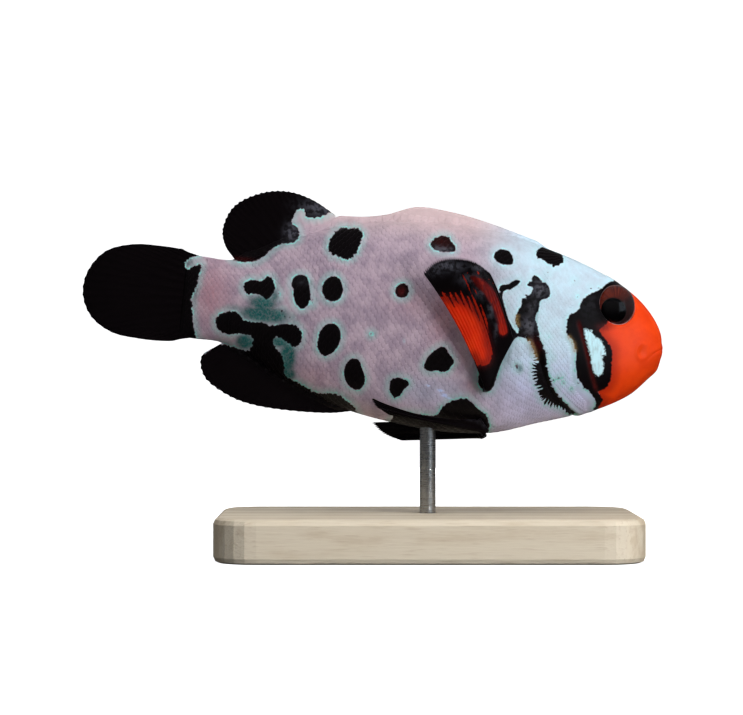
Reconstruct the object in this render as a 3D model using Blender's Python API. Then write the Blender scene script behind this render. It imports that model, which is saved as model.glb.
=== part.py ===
"""A spotted, pale-bodied clownfish as a still, life-size model on a plain display stand.

Metres, +Z up. The head points along +X and the right side faces -Y. The origin is the centre
of the stand base's underside, straight under the rod. The fish is laid out in its own frame in
millimetres, with x forward along its midline, y to its left and z up, and an empty carries it.
"""

import math

import bmesh
import bpy
import numpy as np
from mathutils import Euler, Matrix, Vector

MM = 0.001
GAP = 0.3  # clear space between neighbouring solids
SMOOTH_ANGLE = math.radians(40)  # edges flatter than this are shaded smooth
DENSE_STATIONS = 400  # readings of the body when a height or a width is looked up
SECTION_STEPS = 721

# Helper solids that part the body reach past it on every side
HELPER_HALF_WIDTH = 12.0
HELPER_HEIGHT = 25.0
HELPER_FRONT = 50.0
HELPER_REAR = -40.0

# How the stand holds the fish
FISH_HEIGHT = 33.0  # the fish's own origin over the floor
NOSE_DOWN = math.radians(5.44)
BANK = math.radians(8.0)  # belly towards the right side's viewer
BASE_SIZE = (58.0, 36.0, 6.0)
BASE_CORNER_RADIUS = 6.0
BASE_EDGE_BEVEL = 0.8
ROD_RADIUS = 1.1
ROUND_SEGMENTS = 32
ROD_STATION = 9.0  # where along the fish the rod meets the belly, near its centre of mass
ROD_DEPTH = 3.0  # how far the rod goes into the belly and into the base

# The body without its fins, as stations from the tail's root to the snout:
# along, top, bottom, half width, level of the greatest width, fullness above, fullness below
BODY_STATIONS = (
    (-26.4, 6.3, -5.2, 0.55, 0.5, 2.0, 2.0),
    (-24.4, 6.4, -5.4, 1.4, 0.5, 2.0, 2.0),
    (-21.0, 6.2, -5.5, 2.2, 0.4, 2.0, 2.0),
    (-17.5, 6.9, -6.8, 2.8, 0.3, 2.0, 2.0),
    (-14.0, 8.8, -8.7, 3.4, 0.2, 2.0, 2.0),
    (-9.0, 11.2, -11.0, 4.3, 0.2, 2.0, 2.0),
    (-3.0, 13.0, -13.1, 5.3, 0.2, 2.0, 2.1),
    (4.0, 13.9, -14.4, 6.1, 0.2, 2.0, 2.2),
    (11.0, 14.1, -15.0, 6.6, 0.1, 2.0, 2.2),
    (18.0, 13.3, -14.5, 6.8, 0.0, 2.1, 2.2),
    (24.0, 11.8, -12.6, 6.6, -0.1, 2.2, 2.1),
    (29.0, 10.1, -11.0, 6.1, -0.2, 2.4, 2.1),
    (33.0, 8.3, -9.4, 5.4, -0.4, 2.5, 2.1),
    (36.5, 6.0, -7.3, 4.3, -0.7, 2.4, 2.1),
    (38.8, 3.6, -4.9, 3.1, -0.8, 2.3, 2.1),
    (39.9, 1.7, -3.6, 2.1, -0.9, 2.2, 2.1),
    (40.3, 0.0, -1.9, 1.1, -0.95, 2.0, 2.0),
)
SNOUT_TIP = (40.4, 0.0, -0.95)
BODY_RINGS = 50
RING_POINTS = 32

# Where the body is parted, in side view: along, up
GILL_CURVE = ((26.5, 18.0), (23.2, 7.3), (22.4, 1.1), (23.6, -4.3), (26.2, -8.8), (31.5, -15.0))
CHEEK_CURVE = ((26.4, 7.6), (27.7, 2.4), (29.1, -1.4), (30.7, -5.2), (32.3, -9.2))
GILL_COVER_CROWN = ((24.3, 7.4), (25.7, 7.8), (26.8, 7.2))
GILL_COVER_TOP = 6.2
GILL_COVER_BOTTOM = -12.0
GILL_COVER_FOOT = 0.9  # how far its lowest corner lies ahead of the cheek's end
GILL_COVER_INNER = 3.4  # from the midline to the inner face of each cover
GILL_STEPS, CHEEK_STEPS, LIP_STEPS = 40, 14, 8  # points along each of these curves
TAIL_CUT = -16.8
LIP_GROOVE = ((44.0, 1.1), (40.2, 0.3), (38.6, -0.7), (37.5, -2.2))
MOUTH_CORNER = (37.2, -3.5)
MOUTH_FRONT = (44.0, -0.7)
JAW_HINGE = (34.4, -6.3)
CHIN_REAR = (33.6, -15.0)

# Eyes: flattened balls in the sides of the head, a little taller than wide
EYE_CENTRE = (33.2, 4.2)
EYE_HALF_WIDTH = 2.52
EYE_HALF_HEIGHT = 2.8
EYE_HALF_DEPTH = 1.9
EYE_SEGMENTS, EYE_RINGS = 20, 12
EYE_PROUD = 0.95  # how far an eye stands out of the head's side
EYE_TURN_FORWARD = math.radians(8.0)
EYE_TURN_UP = math.radians(10.0)

# Median fins, in side view: the free edge from front to rear, over a base on the body's midline
FIN_THICKNESS = 0.6
SPINY_DORSAL_THICKNESS = 1.0
FIN_FOOT_GAP = 0.36  # from the body's ridge to the lowest row of a fin
SHORTEST_CAUDAL_RAY = 0.8
CAUDAL_EDGE = (
    (-26.2, 6.9), (-30.0, 7.25), (-34.2, 7.1), (-38.0, 5.7), (-40.2, 2.6), (-40.5, -0.6),
    (-39.0, -3.6), (-36.0, -5.5), (-32.0, -6.1), (-29.0, -6.1), (-26.2, -5.8),
)
SPINY_DORSAL_BASE = (-5.4, 22.6)
SPINY_DORSAL_EDGE = (
    (-5.9, 14.0), (-2.5, 14.2), (0.5, 14.8), (4.5, 16.25), (8.5, 16.15), (14.0, 15.2),
    (19.5, 13.75), (23.0, 12.75),
)
SOFT_DORSAL_BASE = (-19.2, -6.2)
SOFT_DORSAL_EDGE = (
    (-20.3, 7.1), (-21.4, 8.0), (-22.1, 10.3), (-20.9, 13.8), (-17.4, 16.0), (-13.6, 16.65),
    (-10.0, 15.8), (-6.6, 14.0),
)
ANAL_BASE = (-19.6, -2.2)
ANAL_EDGE = (
    (-21.0, -5.9), (-23.2, -7.7), (-22.6, -10.4), (-19.0, -12.8), (-15.0, -13.85),
    (-9.5, -14.1), (-4.5, -13.85), (-1.9, -13.35),
)

# Pectoral fin of the right side, hinge line and ray tips from the leading ray to the last ray:
# along, out from the midline, up
PECTORAL_HINGE = (
    (19.2, 7.3, -2.0), (18.3, 7.4, -4.1), (17.55, 7.4, -6.1), (17.0, 7.35, -8.0), (16.6, 7.25, -9.3),
    (16.0, 7.2, -9.3),
)
PECTORAL_TIPS = (
    (15.3, 9.2, 6.2), (13.6, 10.4, 6.9), (11.5, 11.2, 7.45), (9.4, 11.2, 7.55), (7.5, 10.6, 6.95),
    (6.1, 9.8, 5.5),
)
PECTORAL_BOW = 0.75  # how far the trailing rays bow forward
LEADING_BOW_SHARE = 0.3  # how much of that the first ray has
PECTORAL_CREST = 1.3  # height of the long pleat that runs out from the hinge
PECTORAL_CREST_AT = 0.3
CREST_SPREAD = 0.17  # how much of the fan the pleat takes to each side
FAN_BULGE = 0.4  # how far the whole fan swells out, as a share of the crest

# Pelvic fins, the same way, for each side; they are nearly closed blades along the belly
PELVIC_HINGE = ((17.0, 3.0, -14.9), (16.3, 3.4, -14.1), (15.6, 3.8, -13.3))
RIGHT_PELVIC_TIPS = ((3.2, 4.9, -13.9), (1.4, 5.1, -12.9), (0.7, 5.2, -11.9))
LEFT_PELVIC_TIPS = ((5.4, 4.9, -16.2), (2.5, 5.1, -15.2), (1.1, 5.2, -14.0))
PELVIC_BULGE = 0.5

FLESH = (0.62, 0.52, 0.58, 1.0)
ORANGE = (0.85, 0.16, 0.03, 1.0)
BLACK = (0.012, 0.010, 0.012, 1.0)
EYE_BROWN = (0.10, 0.02, 0.015, 1.0)
PALE_WOOD = (0.72, 0.66, 0.57, 1.0)
STEEL = (0.62, 0.62, 0.63, 1.0)


def clear_scene():
    for obj in list(bpy.data.objects):
        bpy.data.objects.remove(obj)


def make_material(name, colour, roughness, metallic):
    material = bpy.data.materials.new(name)
    material.use_nodes = True
    shader = material.node_tree.nodes["Principled BSDF"]
    shader.inputs["Base Color"].default_value = colour
    shader.inputs["Roughness"].default_value = roughness
    shader.inputs["Metallic"].default_value = metallic
    material.diffuse_color = colour
    return material


def smooth_through(points, parameters):
    """Monotone cubic curve through the points, read at parameters from 0 to 1 along it."""
    points = np.array(points, float)
    spacing = np.sqrt(np.linalg.norm(np.diff(points[:, :3], axis=0), axis=1))
    knots = np.concatenate([[0.0], np.cumsum(spacing)]) / spacing.sum()
    step = np.diff(knots)[:, None]
    slope = np.diff(points, axis=0) / step
    mean = (step[1:] * slope[:-1] + step[:-1] * slope[1:]) / (step[1:] + step[:-1])
    tangent = np.vstack([slope[:1], mean, slope[-1:]])
    parameters = np.clip(np.asarray(parameters, float), 0.0, 1.0)
    index = np.clip(np.searchsorted(knots, parameters, side="right") - 1, 0, len(step) - 1)
    width = step[index]
    t = ((parameters - knots[index])[:, None]) / width
    return (
        (2 * t**3 - 3 * t**2 + 1) * points[index]
        + (t**3 - 2 * t**2 + t) * width * tangent[index]
        + (3 * t**2 - 2 * t**3) * points[index + 1]
        + (t**3 - t**2) * width * tangent[index + 1]
    )


def body_section(station, angles):
    """One closed ring round the body: a rounded section, fuller or sharper above and below."""
    along, top, bottom, half_width, level, full_above, full_below = station
    cosine, sine = np.cos(angles), np.sin(angles)
    above = cosine >= 0
    power = np.where(above, 2.0 / full_above, 2.0 / full_below)
    reach = np.where(above, top - level, level - bottom)
    up = level + reach * np.sign(cosine) * np.abs(cosine) ** power
    out = half_width * np.sign(sine) * np.abs(sine) ** power
    return np.column_stack([np.full_like(up, along), out, up])


def body_stations(count):
    return smooth_through(BODY_STATIONS, np.linspace(0.0, 1.0, count))


def ridge_height(along, column):
    """Height of the body's back (column 1) or belly (column 2) at places along it."""
    dense = body_stations(DENSE_STATIONS)
    return np.interp(along, dense[:, 0], dense[:, column])


def flank_distance(along, up):
    """Distance from the midline to the body's side at one place in side view."""
    dense = body_stations(DENSE_STATIONS)
    station = dense[np.argmin(np.abs(dense[:, 0] - along))]
    section = body_section(station, np.linspace(0.0, math.pi, SECTION_STEPS))
    return section[np.argmin(np.abs(section[:, 2] - up)), 1]


def object_from(name, vertices, faces, material=None, parent=None):
    """A new object from points in millimetres, its faces turned outwards and shaded smooth."""
    mesh = bpy.data.meshes.new(name)
    mesh.from_pydata([tuple(float(c) for c in point) for point in vertices], [], faces)
    work = bmesh.new()
    work.from_mesh(mesh)
    bmesh.ops.recalc_face_normals(work, faces=work.faces)
    work.transform(Matrix.Scale(MM, 4))
    work.to_mesh(mesh)
    work.free()
    mesh.shade_smooth()
    mesh.set_sharp_from_angle(angle=SMOOTH_ANGLE)
    obj = bpy.data.objects.new(name, mesh)
    obj.parent = parent
    if material:
        mesh.materials.append(material)
    bpy.context.scene.collection.objects.link(obj)
    return obj


def as_helper(obj):
    obj.hide_render = True
    obj.display_type = "WIRE"
    return obj


def body_mesh_data():
    """Points and faces of the whole closed body, from the tail's root to the snout."""
    angles = np.arange(RING_POINTS) * 2 * math.pi / RING_POINTS
    rings = [body_section(station, angles) for station in body_stations(BODY_RINGS)]
    vertices = [point for ring in rings for point in ring]
    faces = []
    for ring in range(len(rings) - 1):
        for i in range(RING_POINTS):
            j = (i + 1) % RING_POINTS
            a, b = ring * RING_POINTS + i, ring * RING_POINTS + j
            faces.append((a, b, b + RING_POINTS, a + RING_POINTS))
    faces.append(tuple(range(RING_POINTS)))
    tip = len(vertices)
    vertices.append(SNOUT_TIP)
    last = (len(rings) - 1) * RING_POINTS
    faces += [(last + i, last + (i + 1) % RING_POINTS, tip) for i in range(RING_POINTS)]
    return vertices, faces


def prism(name, outline, y_from, y_to, parent):
    """A closed helper solid: an outline in side view carried from one distance to another."""
    count = len(outline)
    vertices = [(x, y, z) for y in (y_from, y_to) for x, z in outline]
    sides = [(i, (i + 1) % count, count + (i + 1) % count, count + i) for i in range(count)]
    faces = [tuple(range(count)), tuple(range(count, 2 * count))] + sides
    return as_helper(object_from(name, vertices, faces, parent=parent))


def through_prism(name, outline, parent):
    """A helper solid that goes through the whole body from side to side."""
    return prism(name, outline, -HELPER_HALF_WIDTH, HELPER_HALF_WIDTH, parent)


def shifted_curve(points, shift):
    """A curve in side view, moved sideways to its right by a shift."""
    points = np.array(points, float)
    direction = np.gradient(points, axis=0)
    direction /= np.linalg.norm(direction, axis=1)[:, None]
    return points + shift * np.column_stack([direction[:, 1], -direction[:, 0]])


def side_curve(points, count):
    """A smooth curve in side view through a few places."""
    flat = [(x, z, 0.0) for x, z in points]
    return smooth_through(flat, np.linspace(0.0, 1.0, count))[:, :2]


def grown(outline, distance):
    """A closed outline moved outwards by a distance, with mitred corners."""
    points = np.array(outline, float)
    ahead, behind = np.roll(points, -1, axis=0) - points, points - np.roll(points, 1, axis=0)
    area = np.sum(points[:, 0] * np.roll(points[:, 1], -1) - np.roll(points[:, 0], -1) * points[:, 1])
    turn = 1.0 if area > 0 else -1.0
    normals = []
    for edge in (ahead, behind):
        unit = edge / np.linalg.norm(edge, axis=1)[:, None]
        normals.append(turn * np.column_stack([unit[:, 1], -unit[:, 0]]))
    bisector = normals[0] + normals[1]
    bisector /= np.linalg.norm(bisector, axis=1)[:, None]
    mitre = np.clip(np.sum(bisector * normals[0], axis=1), 0.4, 1.0)
    return points + distance * bisector / mitre[:, None]


def add_boolean(obj, operation, helper):
    modifier = obj.modifiers.new(operation.title() + " " + helper.name, "BOOLEAN")
    modifier.operation = operation
    modifier.object = helper
    modifier.solver = "EXACT"


def body_piece(name, blank, keep, cuts, material, parent):
    """One named piece of the body: the whole body inside one region, less some others."""
    obj = bpy.data.objects.new(name, blank.copy())
    obj.data.name = name
    obj.data.materials.append(material)
    obj.parent = parent
    bpy.context.scene.collection.objects.link(obj)
    add_boolean(obj, "INTERSECT", keep)
    for cut in cuts:
        add_boolean(obj, "DIFFERENCE", cut)
    return obj


def gill_cover_outline():
    """The cover in side view: the gill's edge behind, the cheek's edge in front."""
    rear = [p for p in shifted_curve(side_curve(GILL_CURVE, GILL_STEPS), -GAP / 2)
            if GILL_COVER_BOTTOM < p[1] < GILL_COVER_TOP]
    front = [p for p in side_curve(CHEEK_CURVE, CHEEK_STEPS) if p[1] < GILL_COVER_TOP][::-1]
    foot = (CHEEK_CURVE[-1][0] + GILL_COVER_FOOT, GILL_COVER_BOTTOM)
    return [tuple(p) for p in [*rear, foot, *front, *GILL_COVER_CROWN[::-1]]]


def upper_jaw_outline():
    return [*side_curve(LIP_GROOVE, LIP_STEPS).tolist(), MOUTH_CORNER, MOUTH_FRONT]


def lower_jaw_outline():
    front = (MOUTH_FRONT[0], MOUTH_FRONT[1] - GAP)
    corner = (MOUTH_CORNER[0], MOUTH_CORNER[1] - GAP)
    return [front, corner, JAW_HINGE, CHIN_REAR, (MOUTH_FRONT[0], CHIN_REAR[1])]


def eye_ball(name, side, grow, material, parent):
    """A flattened ball whose short axis looks sideways, a little forward and up."""
    mesh = bpy.data.meshes.new(name)
    work = bmesh.new()
    bmesh.ops.create_uvsphere(work, u_segments=EYE_SEGMENTS, v_segments=EYE_RINGS, radius=1.0)
    half_sizes = [half + grow for half in (EYE_HALF_WIDTH, EYE_HALF_HEIGHT, EYE_HALF_DEPTH)]
    stretch = Matrix.Diagonal((*half_sizes, 1.0))
    look = Vector((math.sin(EYE_TURN_FORWARD), side * math.cos(EYE_TURN_FORWARD), math.sin(EYE_TURN_UP)))
    turn = look.to_track_quat("Z", "Y").to_matrix().to_4x4()
    out = flank_distance(*EYE_CENTRE) - EYE_HALF_DEPTH + EYE_PROUD
    place = Matrix.Translation((EYE_CENTRE[0], side * out, EYE_CENTRE[1]))
    work.transform(Matrix.Scale(MM, 4) @ place @ turn @ stretch)
    work.to_mesh(mesh)
    work.free()
    mesh.shade_smooth()
    obj = bpy.data.objects.new(name, mesh)
    obj.parent = parent
    if material:
        mesh.materials.append(material)
    bpy.context.scene.collection.objects.link(obj)
    return obj


def make_body(materials, pose):
    """Head, jaws, gill covers, trunk and tail: one smooth body parted with thin cuts."""
    blank_object = as_helper(object_from("whole_body", *body_mesh_data(), parent=pose))
    blank = blank_object.data
    gill = side_curve(GILL_CURVE, GILL_STEPS)
    behind = [tuple(p) for p in shifted_curve(gill, GAP / 2)]
    ahead = [tuple(p) for p in shifted_curve(gill, -GAP / 2)]
    top, bottom, tail_end = HELPER_HEIGHT, -HELPER_HEIGHT, TAIL_CUT - GAP
    trunk_outline = behind + [(TAIL_CUT, bottom), (TAIL_CUT, top)]
    head_outline = ahead + [(HELPER_FRONT, bottom), (HELPER_FRONT, top)]
    tail_outline = [(tail_end, top), (tail_end, bottom), (HELPER_REAR, bottom), (HELPER_REAR, top)]
    trunk_region = through_prism("trunk_region", trunk_outline, pose)
    head_region = through_prism("head_region", head_outline, pose)
    tail_region = through_prism("tail_region", tail_outline, pose)
    cuts = []
    for side, word in ((-1, "right"), (1, "left")):
        outline = gill_cover_outline()
        near, far = side * GILL_COVER_INNER, side * HELPER_HALF_WIDTH
        plate = prism("gill_plate_" + word, outline, near, far, pose)
        pocket = prism("gill_pocket_" + word, grown(outline, GAP), near - side * GAP, far, pose)
        body_piece("gill_cover_" + word, blank, plate, [], materials["flesh"], pose)
        eye_ball("eye_" + word, side, 0.0, materials["eye"], pose)
        socket = as_helper(eye_ball("eye_socket_" + word, side, GAP, None, pose))
        cuts += [pocket, socket]
    upper, lower = upper_jaw_outline(), lower_jaw_outline()
    upper_region = through_prism("upper_jaw_region", upper, pose)
    lower_region = through_prism("lower_jaw_region", lower, pose)
    cuts.append(through_prism("upper_jaw_room", grown(upper, GAP), pose))
    cuts.append(through_prism("lower_jaw_room", grown(lower, GAP), pose))
    body_piece("upper_jaw", blank, upper_region, [], materials["orange"], pose)
    body_piece("lower_jaw", blank, lower_region, [], materials["orange"], pose)
    body_piece("head", blank, head_region, cuts, materials["orange"], pose)
    body_piece("tail", blank, tail_region, [], materials["flesh"], pose)
    return body_piece("trunk", blank, trunk_region, [], materials["flesh"], pose)


def fin_from_grid(name, grid, thickness, material, parent):
    """A thin fin: a surface of points, rays by places along a ray, given its thickness."""
    rays, places = grid.shape[:2]
    faces = []
    for ray in range(rays - 1):
        for place in range(places - 1):
            a = ray * places + place
            faces.append((a, a + 1, a + 1 + places, a + places))
    obj = object_from(name, grid.reshape(-1, 3), faces, material, parent)
    solidify = obj.modifiers.new("Fin thickness", "SOLIDIFY")
    solidify.thickness = thickness * MM
    solidify.offset = 0.0
    return obj


def median_fin(name, base, edge, column, thickness, material, parent, rays=20, places=5):
    """A fin on the midline: straight rays from the body's back or belly to a free edge."""
    spread = np.linspace(0.0, 1.0, rays)
    tips = smooth_through([(x, z, 0.0) for x, z in edge], spread)[:, :2]
    foot_along = base[0] + (base[1] - base[0]) * spread
    outward = 1.0 if column == 1 else -1.0
    foot_up = ridge_height(foot_along, column) + outward * FIN_FOOT_GAP
    reach = np.linspace(0.0, 1.0, places)[None, :, None]
    feet = np.column_stack([foot_along, np.zeros(rays), foot_up])[:, None, :]
    ends = np.column_stack([tips[:, 0], np.zeros(rays), tips[:, 1]])[:, None, :]
    return fin_from_grid(name, feet + (ends - feet) * reach, thickness, material, parent)


def caudal_fin(material, parent, rays=25, places=6):
    """The tail fin: rays fan out from the tail's root to a rounded free edge."""
    spread = np.linspace(0.0, 1.0, rays)
    tips = smooth_through([(x, z, 0.0) for x, z in CAUDAL_EDGE], spread)[:, :2]
    root = BODY_STATIONS[0]
    top, bottom = root[1] + GAP, root[2] - GAP
    feet_x = root[0] - GAP + np.zeros(rays)
    feet = np.column_stack([feet_x, np.zeros(rays), top + (bottom - top) * spread])[:, None, :]
    tips_x = np.minimum(tips[:, 0], feet_x - SHORTEST_CAUDAL_RAY)
    ends = np.column_stack([tips_x, np.zeros(rays), tips[:, 1]])[:, None, :]
    reach = np.linspace(0.0, 1.0, places)[None, :, None]
    return fin_from_grid("caudal_fin", feet + (ends - feet) * reach, FIN_THICKNESS, material, parent)


def paired_fin(name, side, hinge, tips, bow, crest, material, parent, rays=19, places=8):
    """A fin on one side: rays from a hinge line to their tips, bowed and pleated along one ray."""
    spread = np.linspace(0.0, 1.0, rays)
    feet = smooth_through(hinge, spread)[:, None, :]
    ends = smooth_through(tips, spread)[:, None, :]
    reach = np.linspace(0.0, 1.0, places)[None, :, None]
    grid = feet + (ends - feet) * reach
    swell = np.sin(math.pi * reach[..., 0])
    grid[..., 0] += bow * swell * (LEADING_BOW_SHARE + (1.0 - LEADING_BOW_SHARE) * spread[:, None])
    pleat = np.exp(-(((spread[:, None] - PECTORAL_CREST_AT) / CREST_SPREAD) ** 2))
    grid[..., 1] += crest * (pleat * np.sin(0.5 * math.pi * reach[..., 0]) + FAN_BULGE * swell)
    grid[..., 1] *= side
    return fin_from_grid(name, grid, FIN_THICKNESS, material, parent)


def make_fins(materials, pose):
    black, flesh = materials["black"], materials["flesh"]
    caudal_fin(black, pose)
    median_fin("spiny_dorsal_fin", SPINY_DORSAL_BASE, SPINY_DORSAL_EDGE, 1, SPINY_DORSAL_THICKNESS,
               flesh, pose, rays=24, places=4)
    median_fin("soft_dorsal_fin", SOFT_DORSAL_BASE, SOFT_DORSAL_EDGE, 1, FIN_THICKNESS, black, pose)
    median_fin("anal_fin", ANAL_BASE, ANAL_EDGE, 2, FIN_THICKNESS, black, pose)
    for side, word, pelvic_tips in ((-1, "right", RIGHT_PELVIC_TIPS), (1, "left", LEFT_PELVIC_TIPS)):
        paired_fin("pectoral_fin_" + word, side, PECTORAL_HINGE, PECTORAL_TIPS, PECTORAL_BOW,
                   PECTORAL_CREST, materials["orange"], pose)
        paired_fin("pelvic_fin_" + word, side, PELVIC_HINGE, pelvic_tips, 0.0,
                   PELVIC_BULGE, black, pose, rays=9)


def cylinder(name, radius, bottom, top, material):
    """A plain cylinder upright over the origin; without a material it is a helper for a bore."""
    mesh = bpy.data.meshes.new(name)
    work = bmesh.new()
    bmesh.ops.create_cone(work, cap_ends=True, segments=ROUND_SEGMENTS, depth=(top - bottom) * MM,
                          radius1=radius * MM, radius2=radius * MM)
    work.to_mesh(mesh)
    work.free()
    mesh.shade_smooth()
    mesh.set_sharp_from_angle(angle=SMOOTH_ANGLE)
    obj = bpy.data.objects.new(name, mesh)
    obj.location = (0.0, 0.0, (top + bottom) / 2 * MM)
    bpy.context.scene.collection.objects.link(obj)
    if material:
        mesh.materials.append(material)
    else:
        as_helper(obj)
    return obj


def base_outline(steps=7):
    """The base from above: a rectangle with round corners."""
    half_x = BASE_SIZE[0] / 2 - BASE_CORNER_RADIUS
    half_y = BASE_SIZE[1] / 2 - BASE_CORNER_RADIUS
    outline = []
    for quarter, (sx, sy) in enumerate(((1, 1), (-1, 1), (-1, -1), (1, -1))):
        for step in range(steps):
            angle = math.pi / 2 * (quarter + step / (steps - 1))
            outline.append((sx * half_x + BASE_CORNER_RADIUS * math.cos(angle),
                            sy * half_y + BASE_CORNER_RADIUS * math.sin(angle)))
    return outline


def make_stand(materials, belly_height, trunk):
    """A flat base and one upright rod that enters the belly between the pelvic fins."""
    outline = base_outline()
    count = len(outline)
    vertices = [(x, y, z) for z in (0.0, BASE_SIZE[2]) for x, y in outline]
    sides = [(i, (i + 1) % count, count + (i + 1) % count, count + i) for i in range(count)]
    faces = [tuple(range(count)), tuple(range(count, 2 * count))] + sides
    base = object_from("stand_base", vertices, faces, materials["wood"])
    bevel = base.modifiers.new("Eased edges", "BEVEL")
    bevel.width = BASE_EDGE_BEVEL * MM
    bevel.segments = 2
    bevel.limit_method = "ANGLE"
    bevel.angle_limit = math.radians(60)
    foot, head = BASE_SIZE[2] - ROD_DEPTH, belly_height + ROD_DEPTH
    cylinder("stand_rod", ROD_RADIUS, foot, head, materials["steel"])
    bore = cylinder("rod_bore_below", ROD_RADIUS + GAP, foot - GAP, BASE_SIZE[2] + ROD_DEPTH, None)
    add_boolean(base, "DIFFERENCE", bore)
    socket = cylinder("rod_bore_above", ROD_RADIUS + GAP, belly_height - ROD_DEPTH, head + GAP, None)
    add_boolean(trunk, "DIFFERENCE", socket)


def make_clownfish():
    clear_scene()
    materials = {
        "flesh": make_material("pale_scaled_skin", FLESH, 0.35, 0.0),
        "orange": make_material("orange_skin", ORANGE, 0.38, 0.0),
        "black": make_material("black_fin", BLACK, 0.35, 0.0),
        "eye": make_material("dark_brown_eye", EYE_BROWN, 0.08, 0.0),
        "wood": make_material("pale_wood", PALE_WOOD, 0.5, 0.0),
        "steel": make_material("brushed_steel", STEEL, 0.3, 1.0),
    }
    turn = Euler((-BANK, NOSE_DOWN, 0.0))
    belly = turn.to_matrix() @ Vector((ROD_STATION, 0.0, ridge_height(ROD_STATION, 2)))
    pose = bpy.data.objects.new("fish_pose", None)
    pose.location = Vector((-belly.x, -belly.y, FISH_HEIGHT)) * MM
    pose.rotation_euler = turn
    bpy.context.scene.collection.objects.link(pose)
    bpy.context.view_layer.update()
    trunk = make_body(materials, pose)
    make_fins(materials, pose)
    make_stand(materials, FISH_HEIGHT + belly.z, trunk)


make_clownfish()
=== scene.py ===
# %% [markdown]
# # A clownfish as a museum model
# This lesson dresses a life-size clownfish that is held by one rod over a small wooden base. The solid
# parts come in finished; here they get one smooth skin, a coat of real scales, clear eyes and fitting
# materials. All lengths are named in millimetres in the fish's own directions: along to the snout, out to
# its left side, and up to its back. One matrix then sets the fish nose down and leaning on its rod.

# %% Load the frame
import math
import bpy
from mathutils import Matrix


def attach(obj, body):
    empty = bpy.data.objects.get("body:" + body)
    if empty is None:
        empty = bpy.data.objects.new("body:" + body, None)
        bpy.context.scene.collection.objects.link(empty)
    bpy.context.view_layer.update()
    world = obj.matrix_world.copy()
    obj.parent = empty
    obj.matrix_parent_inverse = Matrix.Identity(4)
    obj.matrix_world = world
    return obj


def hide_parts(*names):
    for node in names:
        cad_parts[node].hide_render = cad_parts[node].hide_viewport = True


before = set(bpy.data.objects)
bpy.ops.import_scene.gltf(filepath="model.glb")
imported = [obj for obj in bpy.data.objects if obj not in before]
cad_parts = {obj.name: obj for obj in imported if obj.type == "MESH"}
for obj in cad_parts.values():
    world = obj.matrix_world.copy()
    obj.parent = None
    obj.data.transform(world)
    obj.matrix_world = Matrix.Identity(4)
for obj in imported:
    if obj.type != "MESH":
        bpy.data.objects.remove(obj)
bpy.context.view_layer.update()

from types import SimpleNamespace

import bpy
import numpy as np
from mathutils import Euler, Vector

MM = 0.001
print("nodes in the frame:", len(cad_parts))

# %% [markdown]
# ## The pose
# The fish hangs a little nose down and leans on its side, so its matrix is one turn and one shift. The
# shift is worked out from the belly, where the rod enters. Keeping every length in the fish's own
# directions and turning it once at the end is far easier than modelling a tilted animal.

# %% Sizes of the body and its pose
NOSE_DOWN = math.radians(5.44)
BANK = math.radians(8.0)
FISH_HEIGHT = 33.0
ROD_STATION = 9.0
SIGHT_DISTANCE = 400.0
SIGHT_SHIFT = (-0.208, -5.556)

BODY_STATIONS = (  # along, top, bottom, half width, level of the widest line, fullness above, fullness below
    (-26.4, 6.3, -5.2, 0.55, 0.5, 2.0, 2.0),
    (-24.4, 6.4, -5.4, 1.4, 0.5, 2.0, 2.0),
    (-21.0, 6.2, -5.5, 2.2, 0.4, 2.0, 2.0),
    (-17.5, 6.9, -6.8, 2.8, 0.3, 2.0, 2.0),
    (-14.0, 8.8, -8.7, 3.4, 0.2, 2.0, 2.0),
    (-9.0, 11.2, -11.0, 4.3, 0.2, 2.0, 2.0),
    (-3.0, 13.0, -13.1, 5.3, 0.2, 2.0, 2.1),
    (4.0, 13.9, -14.4, 6.1, 0.2, 2.0, 2.2),
    (11.0, 14.1, -15.0, 6.6, 0.1, 2.0, 2.2),
    (18.0, 13.3, -14.5, 6.8, 0.0, 2.1, 2.2),
    (24.0, 11.8, -12.6, 6.6, -0.1, 2.2, 2.1),
    (29.0, 10.1, -11.0, 6.1, -0.2, 2.4, 2.1),
    (33.0, 8.3, -9.4, 5.4, -0.4, 2.5, 2.1),
    (36.5, 6.0, -7.3, 4.3, -0.7, 2.4, 2.1),
    (38.8, 3.6, -4.9, 3.1, -0.8, 2.3, 2.1),
    (39.9, 1.7, -3.6, 2.1, -0.9, 2.2, 2.1),
    (40.3, 0.0, -1.9, 1.1, -0.95, 2.0, 2.0),
)
SNOUT_TIP = 40.42


def smooth_through(points, parameters):
    """A smooth cubic curve through the points, read at parameters from 0 to 1 along it."""
    points = np.array(points, float)
    spacing = np.sqrt(np.linalg.norm(np.diff(points[:, :3], axis=0), axis=1))
    knots = np.concatenate([[0.0], np.cumsum(spacing)]) / spacing.sum()
    step = np.diff(knots)[:, None]
    slope = np.diff(points, axis=0) / step
    mean = (step[1:] * slope[:-1] + step[:-1] * slope[1:]) / (step[1:] + step[:-1])
    tangent = np.vstack([slope[:1], mean, slope[-1:]])
    parameters = np.clip(np.asarray(parameters, float), 0.0, 1.0)
    index = np.clip(np.searchsorted(knots, parameters, side="right") - 1, 0, len(step) - 1)
    width = step[index]
    t = ((parameters - knots[index])[:, None]) / width
    return (
        (2 * t**3 - 3 * t**2 + 1) * points[index]
        + (t**3 - 2 * t**2 + t) * width * tangent[index]
        + (3 * t**2 - 2 * t**3) * points[index + 1]
        + (t**3 - t**2) * width * tangent[index + 1]
    )


DENSE = smooth_through(BODY_STATIONS, np.linspace(0.0, 1.0, 1600))


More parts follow.
